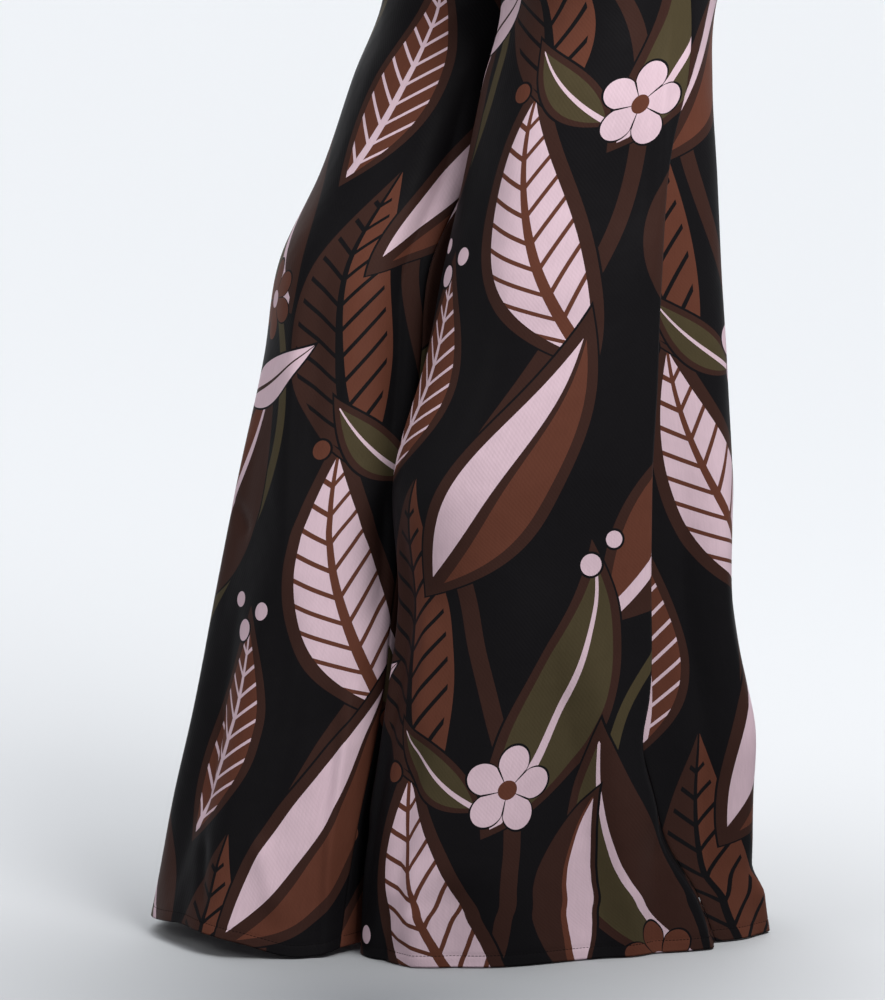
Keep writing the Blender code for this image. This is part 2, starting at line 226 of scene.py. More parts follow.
# ---- creases of the thin cloth
# Each runs from one place on the leg to another, bowed to one side, and fades at both ends. One that
# ends below 0 runs out through the hem. rise is negative for a trough. less and more are its widths on
# the sides of lesser and greater share, and crisp is 2 for a soft swell, down to 1.2 for a break.
# bow, rise, less and more are in millimetres.
Crease = namedtuple("Crease", "share height end_share end_height bow rise less more crisp")
LEFT_CREASES = table(
    Crease,
    # the outside of the leg, ahead of the lap
    (0.436, 0.34, 0.402, -0.03, 6, 7.0, 46, 26, 1.7),
    (0.440, 0.29, 0.506, -0.04, 11, -8.0, 34, 14, 1.25),
    (0.476, 0.29, 0.526, -0.04, 10, 9.0, 16, 20, 1.5),
    (0.553, 0.125, 0.540, -0.03, 0, -8.0, 11, 13, 1.5),
    (0.332, 0.30, 0.352, 0.14, 2, 4.5, 10, 14, 1.5),
    (0.350, 0.21, 0.350, 0.02, 0, -6.0, 10, 13, 1.5),
    (0.362, 0.100, 0.374, -0.03, 0, 6.0, 11, 12, 1.25),
    (0.392, 0.085, 0.402, -0.03, 0, -4.5, 9, 16, 1.4),
    (0.340, 0.060, 0.330, -0.03, 0, -4.0, 10, 9, 1.4),
    (0.372, 0.050, 0.352, 0.015, 0, 2.6, 5, 6, 1.3),
    (0.312, 0.66, 0.330, 0.36, 10, -3.5, 26, 20, 1.9),
    (0.345, 0.74, 0.372, 0.50, -8, 3.2, 22, 26, 1.9),
    (0.470, 0.70, 0.440, 0.44, 8, -2.9, 28, 24, 2.0),
    (0.500, 0.62, 0.512, 0.34, -5, 3.5, 24, 14, 1.9),
    (0.524, 0.78, 0.530, 0.50, 0, 4.2, 11, 7, 1.6),
    (0.505, 0.80, 0.508, 0.56, 3, -3.5, 12, 12, 1.7),
    (0.400, 0.56, 0.430, 0.28, 6, -2.6, 30, 26, 2.0),
    # the front
    (0.060, 0.60, 0.075, 0.10, 6, -8.0, 16, 18, 1.8),
    (0.115, 0.50, 0.100, -0.03, -6, 8.0, 20, 18, 1.8),
    (0.160, 0.44, 0.172, -0.03, 5, -8.0, 16, 18, 1.8),
    (0.215, 0.52, 0.228, 0.02, -6, 6.4, 22, 20, 1.9),
    (0.282, 0.40, 0.296, -0.03, 4, -7.2, 16, 20, 1.8),
    (0.130, 0.06, 0.185, 0.15, 0, 3.8, 9, 12, 1.5),
    (0.240, 0.03, 0.275, 0.12, 0, -3.8, 9, 11, 1.5),
    # behind the lap, and the back
    (0.600, 0.42, 0.604, 0.00, 4, -6.4, 10, 14, 1.7),
    (0.640, 0.46, 0.655, -0.03, -6, 8.0, 14, 18, 1.7),
    (0.652, 0.060, 0.672, -0.03, 0, 9.6, 13, 13, 1.6),
    (0.684, 0.34, 0.690, -0.03, 3, -8.0, 13, 15, 1.7),
    (0.742, 0.52, 0.748, -0.03, 7, 8.0, 16, 18, 1.8),
    (0.700, 0.72, 0.728, 0.34, -8, -4.2, 22, 18, 1.9),
    (0.815, 0.60, 0.832, -0.03, -6, -8.0, 16, 18, 1.8),
    (0.905, 0.54, 0.918, -0.03, 6, 8.0, 18, 16, 1.8),
    (0.965, 0.62, 0.955, 0.08, -4, -6.4, 18, 16, 1.8),
    (0.770, 0.02, 0.805, 0.12, 0, 4.2, 9, 11, 1.5),
    (0.860, 0.03, 0.890, 0.10, 0, -3.8, 9, 10, 1.5),
    # pulled from the fork towards the knee
    (0.020, 0.80, 0.150, 0.70, 10, 4.2, 14, 10, 1.7),
    (0.010, 0.77, 0.115, 0.63, 10, -4.2, 12, 12, 1.7),
    (0.985, 0.79, 0.860, 0.69, -10, 4.2, 12, 14, 1.7),
    (0.990, 0.76, 0.890, 0.62, -10, -4.2, 12, 12, 1.7),
)
RIGHT_CREASES = table(
    Crease,
    # the inside of the leg, which faces the other
    (0.044, 0.72, 0.030, 0.34, -3, -10.5, 12, 15, 1.6),
    (0.036, 0.38, 0.022, 0.24, -3, -6.0, 10, 13, 1.6),
    (0.014, 0.28, -0.042, 0.02, 0, -6.0, 8, 20, 1.35),
    (0.066, 0.225, 0.048, 0.08, -4, -5.0, 7, 16, 1.25),
    (0.046, 0.23, 0.028, 0.01, 0, 6.0, 12, 8, 1.5),
    (0.050, 0.12, 0.036, -0.03, 0, -4.5, 9, 11, 1.5),
    (0.182, 0.54, 0.106, 0.22, 0, 5.0, 17, 20, 1.7),
    (0.212, 0.20, 0.196, 0.09, 0, -4.5, 9, 10, 1.5),
    (0.268, 0.355, 0.205, 0.328, 0, -3.0, 5, 8, 1.4),
    (0.092, 0.62, 0.086, 0.06, 6, 5.1, 18, 20, 1.9),
    (0.118, 0.34, 0.134, -0.03, -5, -5.1, 16, 18, 1.8),
    (0.132, 0.62, 0.128, 0.34, 8, -4.0, 20, 16, 1.8),
    (0.205, 0.30, 0.222, -0.02, 6, -5.1, 18, 20, 1.8),
    (0.070, 0.02, 0.112, 0.10, 0, 3.6, 9, 10, 1.5),
    (0.150, 0.01, 0.184, 0.09, 0, -3.6, 9, 10, 1.5),
    # the front and the outside
    (0.255, 0.52, 0.262, -0.03, 6, 6.9, 18, 20, 1.8),
    (0.342, 0.46, 0.350, -0.03, -6, -7.5, 16, 18, 1.8),
    (0.440, 0.58, 0.446, -0.03, 6, 7.5, 16, 18, 1.8),
    (0.520, 0.40, 0.512, -0.03, -4, -6.9, 14, 16, 1.7),
    (0.602, 0.62, 0.610, -0.03, 6, 7.5, 16, 18, 1.8),
    (0.380, 0.03, 0.420, 0.13, 0, 3.9, 9, 11, 1.5),
    (0.560, 0.02, 0.590, 0.11, 0, -3.9, 9, 10, 1.5),
    (0.400, 0.76, 0.380, 0.50, 8, -3.6, 22, 20, 1.9),
    (0.530, 0.78, 0.560, 0.52, -8, 3.6, 20, 22, 1.9),
    # the back
    (0.692, 0.60, 0.700, -0.03, -6, -7.5, 15, 18, 1.8),
    (0.790, 0.54, 0.782, -0.03, 6, 6.9, 18, 16, 1.8),
    (0.872, 0.60, 0.884, 0.06, -6, -6.9, 16, 18, 1.8),
    (0.930, 0.50, 0.925, -0.03, 4, 6.6, 16, 16, 1.8),
    (0.730, 0.03, 0.764, 0.12, 0, 3.6, 9, 11, 1.5),
    # pulled from the fork towards the knee
    (0.015, 0.80, 0.140, 0.71, 10, 3.6, 12, 12, 1.7),
    (0.990, 0.79, 0.870, 0.68, -10, -4.2, 12, 14, 1.7),
    (0.995, 0.76, 0.900, 0.61, -10, 3.9, 12, 12, 1.7),
)
HEM_GIRTH = 0.92  # round a leg, for the creases' widths
GIRTH_LOSS = 0.44  # girth lost for each metre upwards
CREASE_FADE = 0.30  # share of a crease's length over which it fades at each end
# Small gathers that hang from the waistband, on each half of the hips.
SMALL_GATHERS = 24
GATHER_START = 0.045  # how far above the waistband's lower edge they begin, out of sight
GATHER_CRISP = 1.6
HALF_HIPS = 0.46  # round half of the hips, for their widths

Side = namedtuple("Side", "name sign rings folds lap hem creases")
LEFT = Side("left", 1, LEFT_LEG, LEFT_FOLDS, LEFT_LAP, LEFT_HEM, LEFT_CREASES)
RIGHT = Side("right", -1, RIGHT_LEG, RIGHT_FOLDS, (), RIGHT_HEM, RIGHT_CREASES)

# ---- turned edges and stitching
SEAM_VALLEY, SEAM_VALLEY_WIDTH = 0.0007, 0.0016  # the hollow along a pressed-open seam
STITCH_SINK, STITCH_SINK_WIDTH = 0.0003, 0.0014  # how far the hem's stitching draws the cloth in
# How far a thread's middle stands out of the cloth, as a share of its diameter.
HEM_THREAD_PROUD, BAND_THREAD_PROUD = 0.2, 0.1
# Turned cloth at a seam or hem: distances from the fold, as shares of its depth, with the layers of
# cloth between each and the outer face.
Turned = namedtuple("Turned", "away layers")
TURNED = table(Turned, (1.00, 2.1), (0.35, 2.3), (0.04, 1.9), (0.0, 1.0))

# ---- waistband
BAND_GATHERS = 62
BAND_GATHER_RISE = 0.0011
BAND_GATHER_WANDER = 0.9  # radians by which the gathers stray from even spacing
BAND_THICKNESS = 0.0030
BAND_SQUARE = 0.34  # how square the casing's section is: 1 is round
STITCH_LINES = (-0.0055, -0.0345)  # levels of the rows of stitching along the casing
STITCH_LINE_PINCH = 0.45  # share of the gathers' rise that is left at the stitching
STITCH_LINE_SINK, STITCH_LINE_WIDTH = 0.0004, 0.0025
MERGE = 0.000001  # joins the points where the casing's grid meets itself

# ---- the print
# A half-drop repeat of leaves, stems, flowers and berries, in millimetres on the flat cloth. across
# and up: the motif's middle; turn: degrees from the weft; length and width: half of each; bend: how
# far its ends curve. Each motif has the number of one of the five inks.
GROUND, BROWN, RUST, OLIVE, PINK = 0.0, 0.2, 0.4, 0.6, 0.8
INK_STEP = 0.1  # an ink shows from this far below its number
OUTLINE = 2.0  # dark line round each motif
Stem = namedtuple("Stem", "across sway phase half_width ink")
STEMS = table(Stem, (60, 52, 0.0, 5.5, OLIVE), (232, 40, 2.4, 7.5, BROWN))
Leaf = namedtuple("Leaf", "across up turn length width bend upper lower rib veins border edge")
LEAVES = table(
    Leaf,
    (52, 128, 64, 126, 50, 26, RUST, BROWN, PINK, 0, 9, BROWN),
    (196, 72, 112, 134, 46, -30, PINK, PINK, RUST, 24, 11, BROWN),
    (302, 250, 76, 124, 42, 28, OLIVE, OLIVE, PINK, 0, 8, BROWN),
    (150, 292, 100, 132, 45, -24, BROWN, RUST, GROUND, 22, 0, BROWN),
    (26, 392, 116, 120, 43, -24, OLIVE, BROWN, PINK, 0, 8, BROWN),
    (236, 440, 68, 130, 46, 26, PINK, RUST, BROWN, 0, 10, BROWN),
    (124, 508, 84, 102, 36, 18, RUST, RUST, PINK, 18, 8, BROWN),
    (322, 92, 84, 84, 29, -14, BROWN, PINK, RUST, 0, 4, BROWN),
    (86, 238, 28, 54, 19, 8, PINK, PINK, BROWN, 0, 0, BROWN),
    (196, 188, 140, 54, 19, -8, OLIVE, OLIVE, PINK, 0, 5, BROWN),
)
Flower = namedtuple("Flower", "across up turn radius petals ink heart")
FLOWERS = table(Flower, (262, 176, 12, 36, 5, PINK, RUST), (62, 304, 40, 34, 6, RUST, PINK))
Berry = namedtuple("Berry", "across up radius ink")
BERRIES = table(
    Berry,
    (112, 30, 9.0, PINK),
    (132, 48, 7.5, PINK),
    (98, 54, 6.5, PINK),
    (304, 356, 9.0, PINK),
    (324, 376, 7.0, PINK),
    (158, 184, 8.0, RUST),
    (12, 220, 8.0, RUST),
)
# Where each panel was cut out of the printed cloth.
Cut = namedtuple("Cut", "across up")
CUTS = {
    "front_left": Cut(0.130, 0.020),
    "back_left": Cut(0.310, 0.240),
    "front_right": Cut(0.055, 0.330),
    "back_right": Cut(0.220, 0.120),
}
BAND_CUT = Cut(0.020, 0.410)
FLAT_CLOTH = "Flat cloth"  # the UV map that holds the flat cloth's own metres

# Shapes of the motifs, as shares of half their length or width.
LEAF_REACH = 1.3  # how far along a leaf its outline is worked out
LEAF_TAPER = 0.35  # how much finer its tip is than its base
RIB_HALF, RIB_TAPER = 0.074, 0.055
VEIN_SLANT, VEIN_HALF, VEIN_MARGIN = 0.9, 0.1, 0.12
PETAL_DEPTH, PETAL_ROUND, PETAL_GROOVE, HEART_RADIUS = 0.5, 0.7, 0.10, 0.22

# ---- twill, thread and floor
# Ribs of silk twill are about 0.4 mm apart; 1.2 mm is the closest that shows in a near view.
RIB_SCALE, RIB_HEIGHT = 180.0, 0.00004
WAVE_SCALE, WAVE_HEIGHT = 22.0, 0.0012  # the cloth's small waves, about 45 mm across
BLOTCH_SCALE = 14.0  # blotches of dye, about 70 mm across
STREAK_SCALE = (900.0, 70.0, 1.0)  # streaks of single threads, 1 mm by 14 mm
DYE_VARIATION = 0.05
NOISE_SPAN = (0.6, 1.4)  # what two noises added up mostly reach
FACE_ROUGHNESS, REVERSE_ROUGHNESS = 0.50, 0.62
SHOW_PLAIN = 0.35  # how much of the reverse is unprinted silk
TWIST_SCALE = 2500.0  # twist of the sewing thread, 0.4 mm
TWIST_SPAN, TWIST_SHADES = (0.3, 0.7), (0.75, 1.25)
FLOOR_RADIUS = 90.0
FLOOR_SEGMENTS = 128
# The distance in metres over which the floor's painted shadow round the hems fades out.
FLOOR_PAINTED_SHADOW_REACH = 0.9

# ---- camera and lamps
# A place is given by steps to the camera's right, upwards and towards the camera, level with the floor:
# for the point looked at, from the middle of the waist; for the others, from the point looked at.
CAMERA_AZIMUTH = math.radians(66)
CAMERA_DROP = math.radians(7.5)
CAMERA_DISTANCE = 4.0
CAMERA_LENS = 180.0
SENSOR = 36.0  # along the image's long side
LOOK_AT = (-0.0916, 0.374 - WAIST_HEIGHT, 0.20)
# Middle of the floor's painted shadow, as a step from the point looked at.
FLOOR_PAINTED_SHADOW_PLACE = (-0.06, 0.0, 0.16)
SOFTBOX_WHITE, ROOM_WHITE = (1.0, 0.985, 0.97), (0.975, 0.987, 1.0)
# size: the width of a softbox, or the spread of a soft sun in radians.
Lamp = namedtuple("Lamp", "name kind strength place size colour")
LAMPS = table(
    Lamp,
    ("Key light", "AREA", "key_strength", (0.65, 1.15, 0.85), 0.75, SOFTBOX_WHITE),
    ("Fill light", "AREA", "fill_strength", (-1.2, 0.8, 0.7), 0.9, SOFTBOX_WHITE),
    ("Back light", "SUN", "back_strength", (-0.3, 1.6, -2.6), 1.0, ROOM_WHITE),
    ("Ceiling light", "SUN", "ceiling_strength", (0.1, 3.0, -0.9), 1.2, ROOM_WHITE),
)
WALL_TOP = (0.10, 0.26)  # height of the pale walls above the horizon, and of their soft edge
WALL_FOOT = (-0.10, -0.02)  # where the light from below fades into the walls


def linear(code):
    """An sRGB hex colour in linear light."""
    parts = [int(code[i : i + 2], 16) / 255 for i in (1, 3, 5)]
    return tuple(c / 12.92 if c <= 0.04045 else ((c + 0.055) / 1.055) ** 2.4 for c in parts)


# ---- the garment's sections


def points(*columns):
    """Points or directions from their coordinates."""
    return np.stack(columns, axis=-1)


def unit(directions):
    """Directions made one long."""
    return directions / np.linalg.norm(directions, axis=-1, keepdims=True)


def between(rows, column, at, key="height"):
    """A table's column anywhere between its rows, on a smooth curve through them."""
    rows = sorted(rows, key=lambda row: getattr(row, key))
    place, value = (np.array([getattr(row, name) for row in rows], float) for name in (key, column))
    slope = np.gradient(value, place)
    at = np.clip(at, place[0], place[-1])
    low = np.clip(np.searchsorted(place, at, side="right") - 1, 0, len(place) - 2)
    step = place[low + 1] - place[low]
    t = (at - place[low]) / step
    return (
        (2 * t**3 - 3 * t**2 + 1) * value[low]
        + (t**3 - 2 * t**2 + t) * step * slope[low]
        + (3 * t**2 - 2 * t**3) * value[low + 1]
        + (t**3 - t**2) * step * slope[low + 1]
    )


def ease(t):
    """0 to 1 with level ends."""
    t = np.clip(t, 0.0, 1.0)
    return t * t * (3 - 2 * t)


def from_middle(share, middle):
    """How far round a share lies from another, the short way."""
    return (share - middle + 0.5) % 1.0 - 0.5


def tube(side, share, height):
    """A leg's plan points, seen as a left leg, before its folds and before the legs press."""

    def at(column):
        return between(side.rings, column, height)

    around = WHOLE_TURN * share
    inwards, ahead = np.cos(around), np.sin(around)
    square = at("square")
    radius = (np.abs(inwards) ** square + np.abs(ahead) ** square) ** (-1 / square)
    x = -inwards * radius * np.where(inwards > 0, at("inner"), at("outer"))
    y = -ahead * radius * np.where(ahead > 0, at("front"), at("back"))
    turn = np.radians(at("turn"))
    return points(
        at("out") + x * np.cos(turn) - y * np.sin(turn),
        -at("ahead") + x * np.sin(turn) + y * np.cos(turn),
    )


def fold_rise(side, share, height):
    """How far the folds and the lap move the cloth out of a leg's plain tube."""
    rise = np.zeros(np.broadcast(share, height).shape)
    for fold in side.folds:
        grown = ease((fold.top - height) / fold.top)
        middle = fold.hem_share + (fold.top_share - fold.hem_share) * height / fold.top
        rise += fold.rise * grown * np.exp(-((from_middle(share, middle) / fold.width) ** 2))
    if side.lap:
        behind = share - between(side.lap, "share", height)
        turned_in = ease(behind / LAP_EDGE) * (1 - ease((behind - LAP_EDGE) / LAP_REACH))
        rise -= between(side.lap, "depth", height) * turned_in
    return rise


def crease_rise(creases, share, height, girth=None):
    """How far the creases move the cloth out."""
    rise = np.zeros(np.broadcast(share, height).shape)
    for crease in creases:
        middle = 0.5 * (crease.height + max(crease.end_height, 0.0))
        metres = girth or HEM_GIRTH - GIRTH_LOSS * middle
        across = from_middle(share, crease.share) * metres
        up = height - crease.height
        run_across = (crease.end_share - crease.share) * metres
        run_up = crease.end_height - crease.height
        length = math.hypot(run_across, run_up)
        t = (across * run_across + up * run_up) / length**2
        aside = (up * run_across - across * run_up) / length
        aside = aside - crease.bow * MM * 4 * np.clip(t, 0, 1) * (1 - np.clip(t, 0, 1))
        width = MM * np.where(aside > 0, crease.more, crease.less)
        shape = np.exp(-(np.abs(aside / width) ** crease.crisp))
        rise += crease.rise * MM * shape * ease(t / CREASE_FADE) * ease((1 - t) / CREASE_FADE)
    return rise


def small_gathers():
    """Short creases that hang from the waistband round half of the hips; the sines make each differ."""
    top = WAIST_HEIGHT - BAND_HEIGHT + GATHER_START
    made = []
    for i in range(SMALL_GATHERS):
        share = (i + 0.5 + 0.28 * math.sin(7.1 * i + 0.4)) / SMALL_GATHERS
        drop = 0.075 + 0.085 * abs(math.sin(2.3 * i + 1.0))
        slant = 0.012 * math.sin(3.7 * i)
        rise = (1.5 + 0.8 * math.sin(5.3 * i)) * (-1 if i % 2 else 1)
        width = 5.0 + 2.0 * math.sin(4.1 * i)
        end = (share + slant, top - GATHER_START - drop)
        made.append(Crease(share, top, *end, 0, rise, width, width, GATHER_CRISP))
    return made


GATHER_CREASES = small_gathers()


def leg_plan(side, share, height):
    """A leg's plan points in place, folded, creased, and pressed against the flat between the legs."""
    along = tube(side, share + PROBE, height) - tube(side, share - PROBE, height)
    outward = unit(points(along[..., 1], -along[..., 0]))
    rise = fold_rise(side, share, height) + crease_rise(side.creases, share, height)
    plan = tube(side, share, height) + rise[..., None] * outward
    plan[..., 0] *= side.sign
    middle = 0.5 * points(
        between(LEFT_LEG, "out", height) - between(RIGHT_LEG, "out", height),
        -between(LEFT_LEG, "ahead", height) - between(RIGHT_LEG, "ahead", height),
    )
    heading = np.radians(between(FLATS, "heading", height))
    normal = side.sign * points(np.cos(heading), np.sin(heading))
    shift = side.sign * between(FLATS, "shift", height)
    clear = np.sum((plan - middle) * normal, axis=-1) - shift - LEG_CLEARANCE
    soft = between(FLATS, "soft", height)
    pressed = 0.5 * (clear + np.sqrt(clear**2 + soft**2))
    return plan + (pressed - clear)[..., None] * normal


def hip_plan(side, share, height, creased=True):
    """Half of the hips, from the centre front round the side to the centre back."""
    around = math.pi * share
    outwards, ahead = np.sin(around), np.cos(around)
    radius = (np.abs(outwards) ** HIP_SQUARE + np.abs(ahead) ** HIP_SQUARE) ** (-1 / HIP_SQUARE)
    along = np.where(ahead > 0, between(HIPS, "front", height), between(HIPS, "back", height))
    rise = between(GATHER_RISES, "rise", height) * np.cos(WHOLE_TURN * GATHERS * share)
    if creased:
        rise = rise + crease_rise(GATHER_CREASES, share, height, HALF_HIPS)
    swell = 1 + rise / HIP_RADIUS
    x = side.sign * outwards * radius * between(HIPS, "side", height) * swell
    return points(x, -ahead * radius * along * swell)


def side_seam(side, height):
    """The side seam's share of the way round: it lies in the corner behind the lap."""
    leg = between(side.lap, "share", height) + LAP_EDGE if side.lap else LEG_SEAM
    return leg + (HIP_SEAM - leg) * ease((height - SEAM_TURN[0]) / (SEAM_TURN[1] - SEAM_TURN[0]))


def cloth(side, share, height):
    """Points on the outside of the cloth."""
    risen = np.clip((height - FORK_HEIGHT) / (SEAT_HEIGHT - FORK_HEIGHT), 0.0, 1.0)
    curved = np.sqrt(1 - (1 - risen) ** 2)
    from_centre = 0.5 - np.abs((share % 1.0) - 0.5)
    joined = (curved + (ease(risen) - curved) * ease(from_centre / CENTRE_REACH))[..., None]
    plan = (1 - joined) * leg_plan(side, share, height) + joined * hip_plan(side, share, height)
    hem = between(side.hem, "height", share % 1.0, key="share")
    lifted = height + hem * (1 - np.clip(height / HEM_REACH, 0.0, 1.0)) ** 2
    return np.concatenate((plan, (lifted - WAIST_HEIGHT)[..., None]), axis=-1)


def cloth_normal(side, share, height):
    """Directions out of the cloth, square to it. Up to the fork the slope is the leg's own."""
    above = np.where(height > FORK_HEIGHT, height + PROBE, height)
    along = cloth(side, share + PROBE, height) - cloth(side, share - PROBE, height)
    upward = cloth(side, share, above) - cloth(side, share, height - PROBE)
    return unit(side.sign * np.cross(along, upward))


# ---- panels


def cloth_rows(hem_depth, cloth_thickness):
    """Heights of the rows from the waistband down, and how deep each lies behind the outer face."""
    top = WAIST_HEIGHT - BAND_HEIGHT + BAND_TUCK
    hips = np.linspace(top, SEAT_HEIGHT, HIP_ROWS + 1)[:-1]
    angle = np.linspace(math.pi / 2, 0.0, SEAT_ROWS + 1)
    seat = FORK_HEIGHT + (SEAT_HEIGHT - FORK_HEIGHT) * (1 - np.cos(angle))
    legs = np.linspace(FORK_HEIGHT, HEM_ZONE, LEG_ROWS + 1)[1:]
    hem = np.linspace(HEM_ZONE, 0.0, HEM_ROWS + 1)[1:]
    turned = [(row.away * hem_depth, row.layers * cloth_thickness) for row in reversed(TURNED)]
    heights = np.concatenate((hips, seat, legs, hem, [away for away, _ in turned]))
    from_stitches = (heights - hem_depth) / STITCH_SINK_WIDTH
    depths = STITCH_SINK * np.exp(-(from_stitches**2))
    depths[-len(turned) :] = [depth for _, depth in turned]
    return heights, depths


def panel_points(side, face, sizes):
    """A panel's points row by row, and their places on the flat cloth, seam allowances and all."""
    heights, row_depth = cloth_rows(sizes.hem_depth, sizes.cloth_thickness)
    seam = side_seam(side, heights)
    ring = np.linspace(0.0, 1.0, GIRTH_STEPS + 1)
    rounds = cloth(side, *np.broadcast_arrays(ring[None, :], heights[:, None]))
    girth = np.linalg.norm(np.diff(rounds, axis=1), axis=-1).sum(axis=1)
    width = (seam if face == "front" else 1 - seam) * girth
    even = np.linspace(0.0, 1.0, PANEL_COLUMNS + 1)
    from_seam = even + EDGE_CROWDING * (0.5 - 0.5 * np.cos(math.pi * even) - even)
    turned_in = np.array([place.away for place in TURNED]) * sizes.seam_allowance
    at_side = turned_in[None, :] / width[:, None]
    main = np.broadcast_to(from_seam, (len(heights), len(from_seam)))
    across = np.concatenate((at_side, main, 1 - at_side[:, ::-1]), axis=1)
    layers = np.array([place.layers for place in TURNED]) * sizes.cloth_thickness
    from_edge = np.minimum(main, 1 - main) * width[:, None]
    valley = SEAM_VALLEY * np.exp(-((from_edge / SEAM_VALLEY_WIDTH) ** 2))
    turned_depth = np.broadcast_to(SEAM_VALLEY + layers, at_side.shape)
    depth = np.concatenate((turned_depth, valley, turned_depth[:, ::-1]), axis=1)
    depth = depth + row_depth[:, None]

    gap = SEAM_GAP / 2 / LEAST_GIRTH
    seam, height = seam[:, None], np.broadcast_to(heights[:, None], across.shape)
    if face == "front":
        share = np.clip(seam * (1 - across), gap, seam - gap)
    else:
        share = np.clip(seam + (1 - seam) * across, seam + gap, 1 - gap)
    outward = cloth_normal(side, share, height)
    grid = cloth(side, share, height) - depth[..., None] * outward
    at_centre = (height >= FORK_HEIGHT) & (side.sign * grid[..., 0] < SEAM_GAP / 2)
    grid[at_centre, 0] = side.sign * SEAM_GAP / 2

    steps = np.linalg.norm(np.diff(grid, axis=1), axis=-1)
    around = np.concatenate((np.zeros((len(heights), 1)), np.cumsum(steps, axis=1)), axis=1)
    grain = across.shape[1] // 2
    around = around - around[:, grain, None]
    falls = np.linalg.norm(np.diff(grid[:, grain], axis=0), axis=-1)
    down = np.concatenate(([0.0], np.cumsum(falls)))
    facing = -side.sign if face == "front" else side.sign
    flat = points(facing * around, np.broadcast_to(down[-1] - down[:, None], around.shape))
    return grid, flat, outward


def sheet_grid(grid, flat):
    """A grid of cloth bent to its points, row by row, with its places on the flat cloth."""
    rows, columns = grid.shape[0] - 1, grid.shape[1] - 1
    mesh = bmesh.new()
    bmesh.ops.create_grid(mesh, x_segments=columns, y_segments=rows, size=0.5)
    place = np.array([vert.co[:2] for vert in mesh.verts]) + 0.5
    row = np.rint((1 - place[:, 1]) * rows).astype(int)
    column = np.rint(place[:, 0] * columns).astype(int)
    for vert, point in zip(mesh.verts, grid[row, column]):
        vert.co = point
    mesh.normal_update()
    places = flat[row, column].tolist()
    layer = mesh.loops.layers.uv.new(FLAT_CLOTH)
    for quad in mesh.faces:
        for corner in quad.loops:
            corner[layer].uv = places[corner.vert.index]
    return mesh, row, column


def add_object(name, mesh, materials):
    """An object from a finished bmesh, which it uses up."""
    data = bpy.data.meshes.new(name)
    mesh.to_mesh(data)
    mesh.free()
    for material in materials:
        data.materials.append(material)
    made = bpy.data.objects.new(name, data)
    bpy.context.scene.collection.objects.link(made)
    return made


def add_piece(name, mesh, materials):
    """A piece of the garment, in place, riding on its one body."""
    piece = add_object(name, mesh, materials)
    piece.data.shade_smooth()
    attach(piece, "root")
    return piece


def panel(side, face, sizes, materials):
    """One panel of thin cloth, from the waistband to the turned hem, with its flat size and area."""
    grid, flat, outward = panel_points(side, face, sizes)
    node = f"{face}_{side.name}"
    mesh, row, column = sheet_grid(grid, flat + np.array(CUTS[node]))
    normals = np.array([vert.normal for vert in mesh.verts])
    main_part = (column > len(TURNED)) & (column < grid.shape[1] - len(TURNED))
    if np.sum((normals * outward[row, column])[main_part]) < 0:
        bmesh.ops.reverse_faces(mesh, faces=mesh.faces[:])
    piece = add_piece(f"twill_{node}", mesh, materials)
    # The cloth's thickness goes inwards, with its reverse side in the second material.
    solid = piece.modifiers.new("Cloth thickness", "SOLIDIFY")
    solid.thickness, solid.offset, solid.material_offset = sizes.cloth_thickness, -1.0, 1
    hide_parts(node)
    widths = np.abs(flat[:, -1, 0] - flat[:, 0, 0])
    lengths = np.abs(np.diff(flat[:, 0, 1]))
    area = float(np.sum(0.5 * (widths[1:] + widths[:-1]) * lengths))
    return piece, (float(widths.max()), float(lengths.sum())), area


# ---- stitching


def stitch_frames(line, outward, sizes):
    """The middle of each stitch along a line on the cloth, with its directions aside, away and along."""
    steps = np.linalg.norm(np.diff(line, axis=0), axis=-1)
    run = np.concatenate(([0.0], np.cumsum(steps)))
    pitch = sizes.stitch_length + sizes.stitch_gap
    at = (np.arange(int(run[-1] / pitch)) + 0.5) * pitch

    def on_line(values, places):
        return points(*(np.interp(places, run, column) for column in values.T))

    half = 0.5 * sizes.stitch_length
    along = unit(on_line(line, at + half) - on_line(line, at - half))
    aside = unit(np.cross(on_line(outward, at), along))
    return on_line(line, at), np.stack((aside, np.cross(along, aside), along), axis=1)


def stitch_rows(rows, sizes):
    """Short threads end to end along lines on the cloth, each half sunk into it."""
    mesh = bmesh.new()
    shape = Matrix.Diagonal((sizes.thread / 2, sizes.thread / 2, sizes.stitch_length / 2, 1.0))
    for line, outward in rows:
        for middle, directions in zip(*stitch_frames(line, outward, sizes)):
            turned = Matrix(directions).transposed().to_4x4()
            bmesh.ops.create_uvsphere(
                mesh, u_segments=STITCH_AROUND, v_segments=STITCH_ALONG, radius=1.0,
                matrix=Matrix.Translation(middle) @ turned @ shape,
            )
    return mesh


def hem_stitching(side, face, sizes, thread):
    """Lockstitch that holds a panel's turned hem."""
    seam = float(side_seam(side, np.array([sizes.hem_depth]))[0])
    gap = SEAM_GAP / LEAST_GIRTH
    ends = (gap, seam - gap) if face == "front" else (seam + gap, 1 - gap)
    share = np.linspace(*ends, HEM_LINE_POINTS)
    height = np.full(HEM_LINE_POINTS, sizes.hem_depth - sizes.thread)
    outward = cloth_normal(side, share, height)
    line = cloth(side, share, height) - (STITCH_SINK - HEM_THREAD_PROUD * sizes.thread) * outward
    mesh = stitch_rows([(line, outward)], sizes)
    return add_piece(f"hem_stitching_{face}_{side.name}", mesh, [thread])


# ---- the waistband's casing


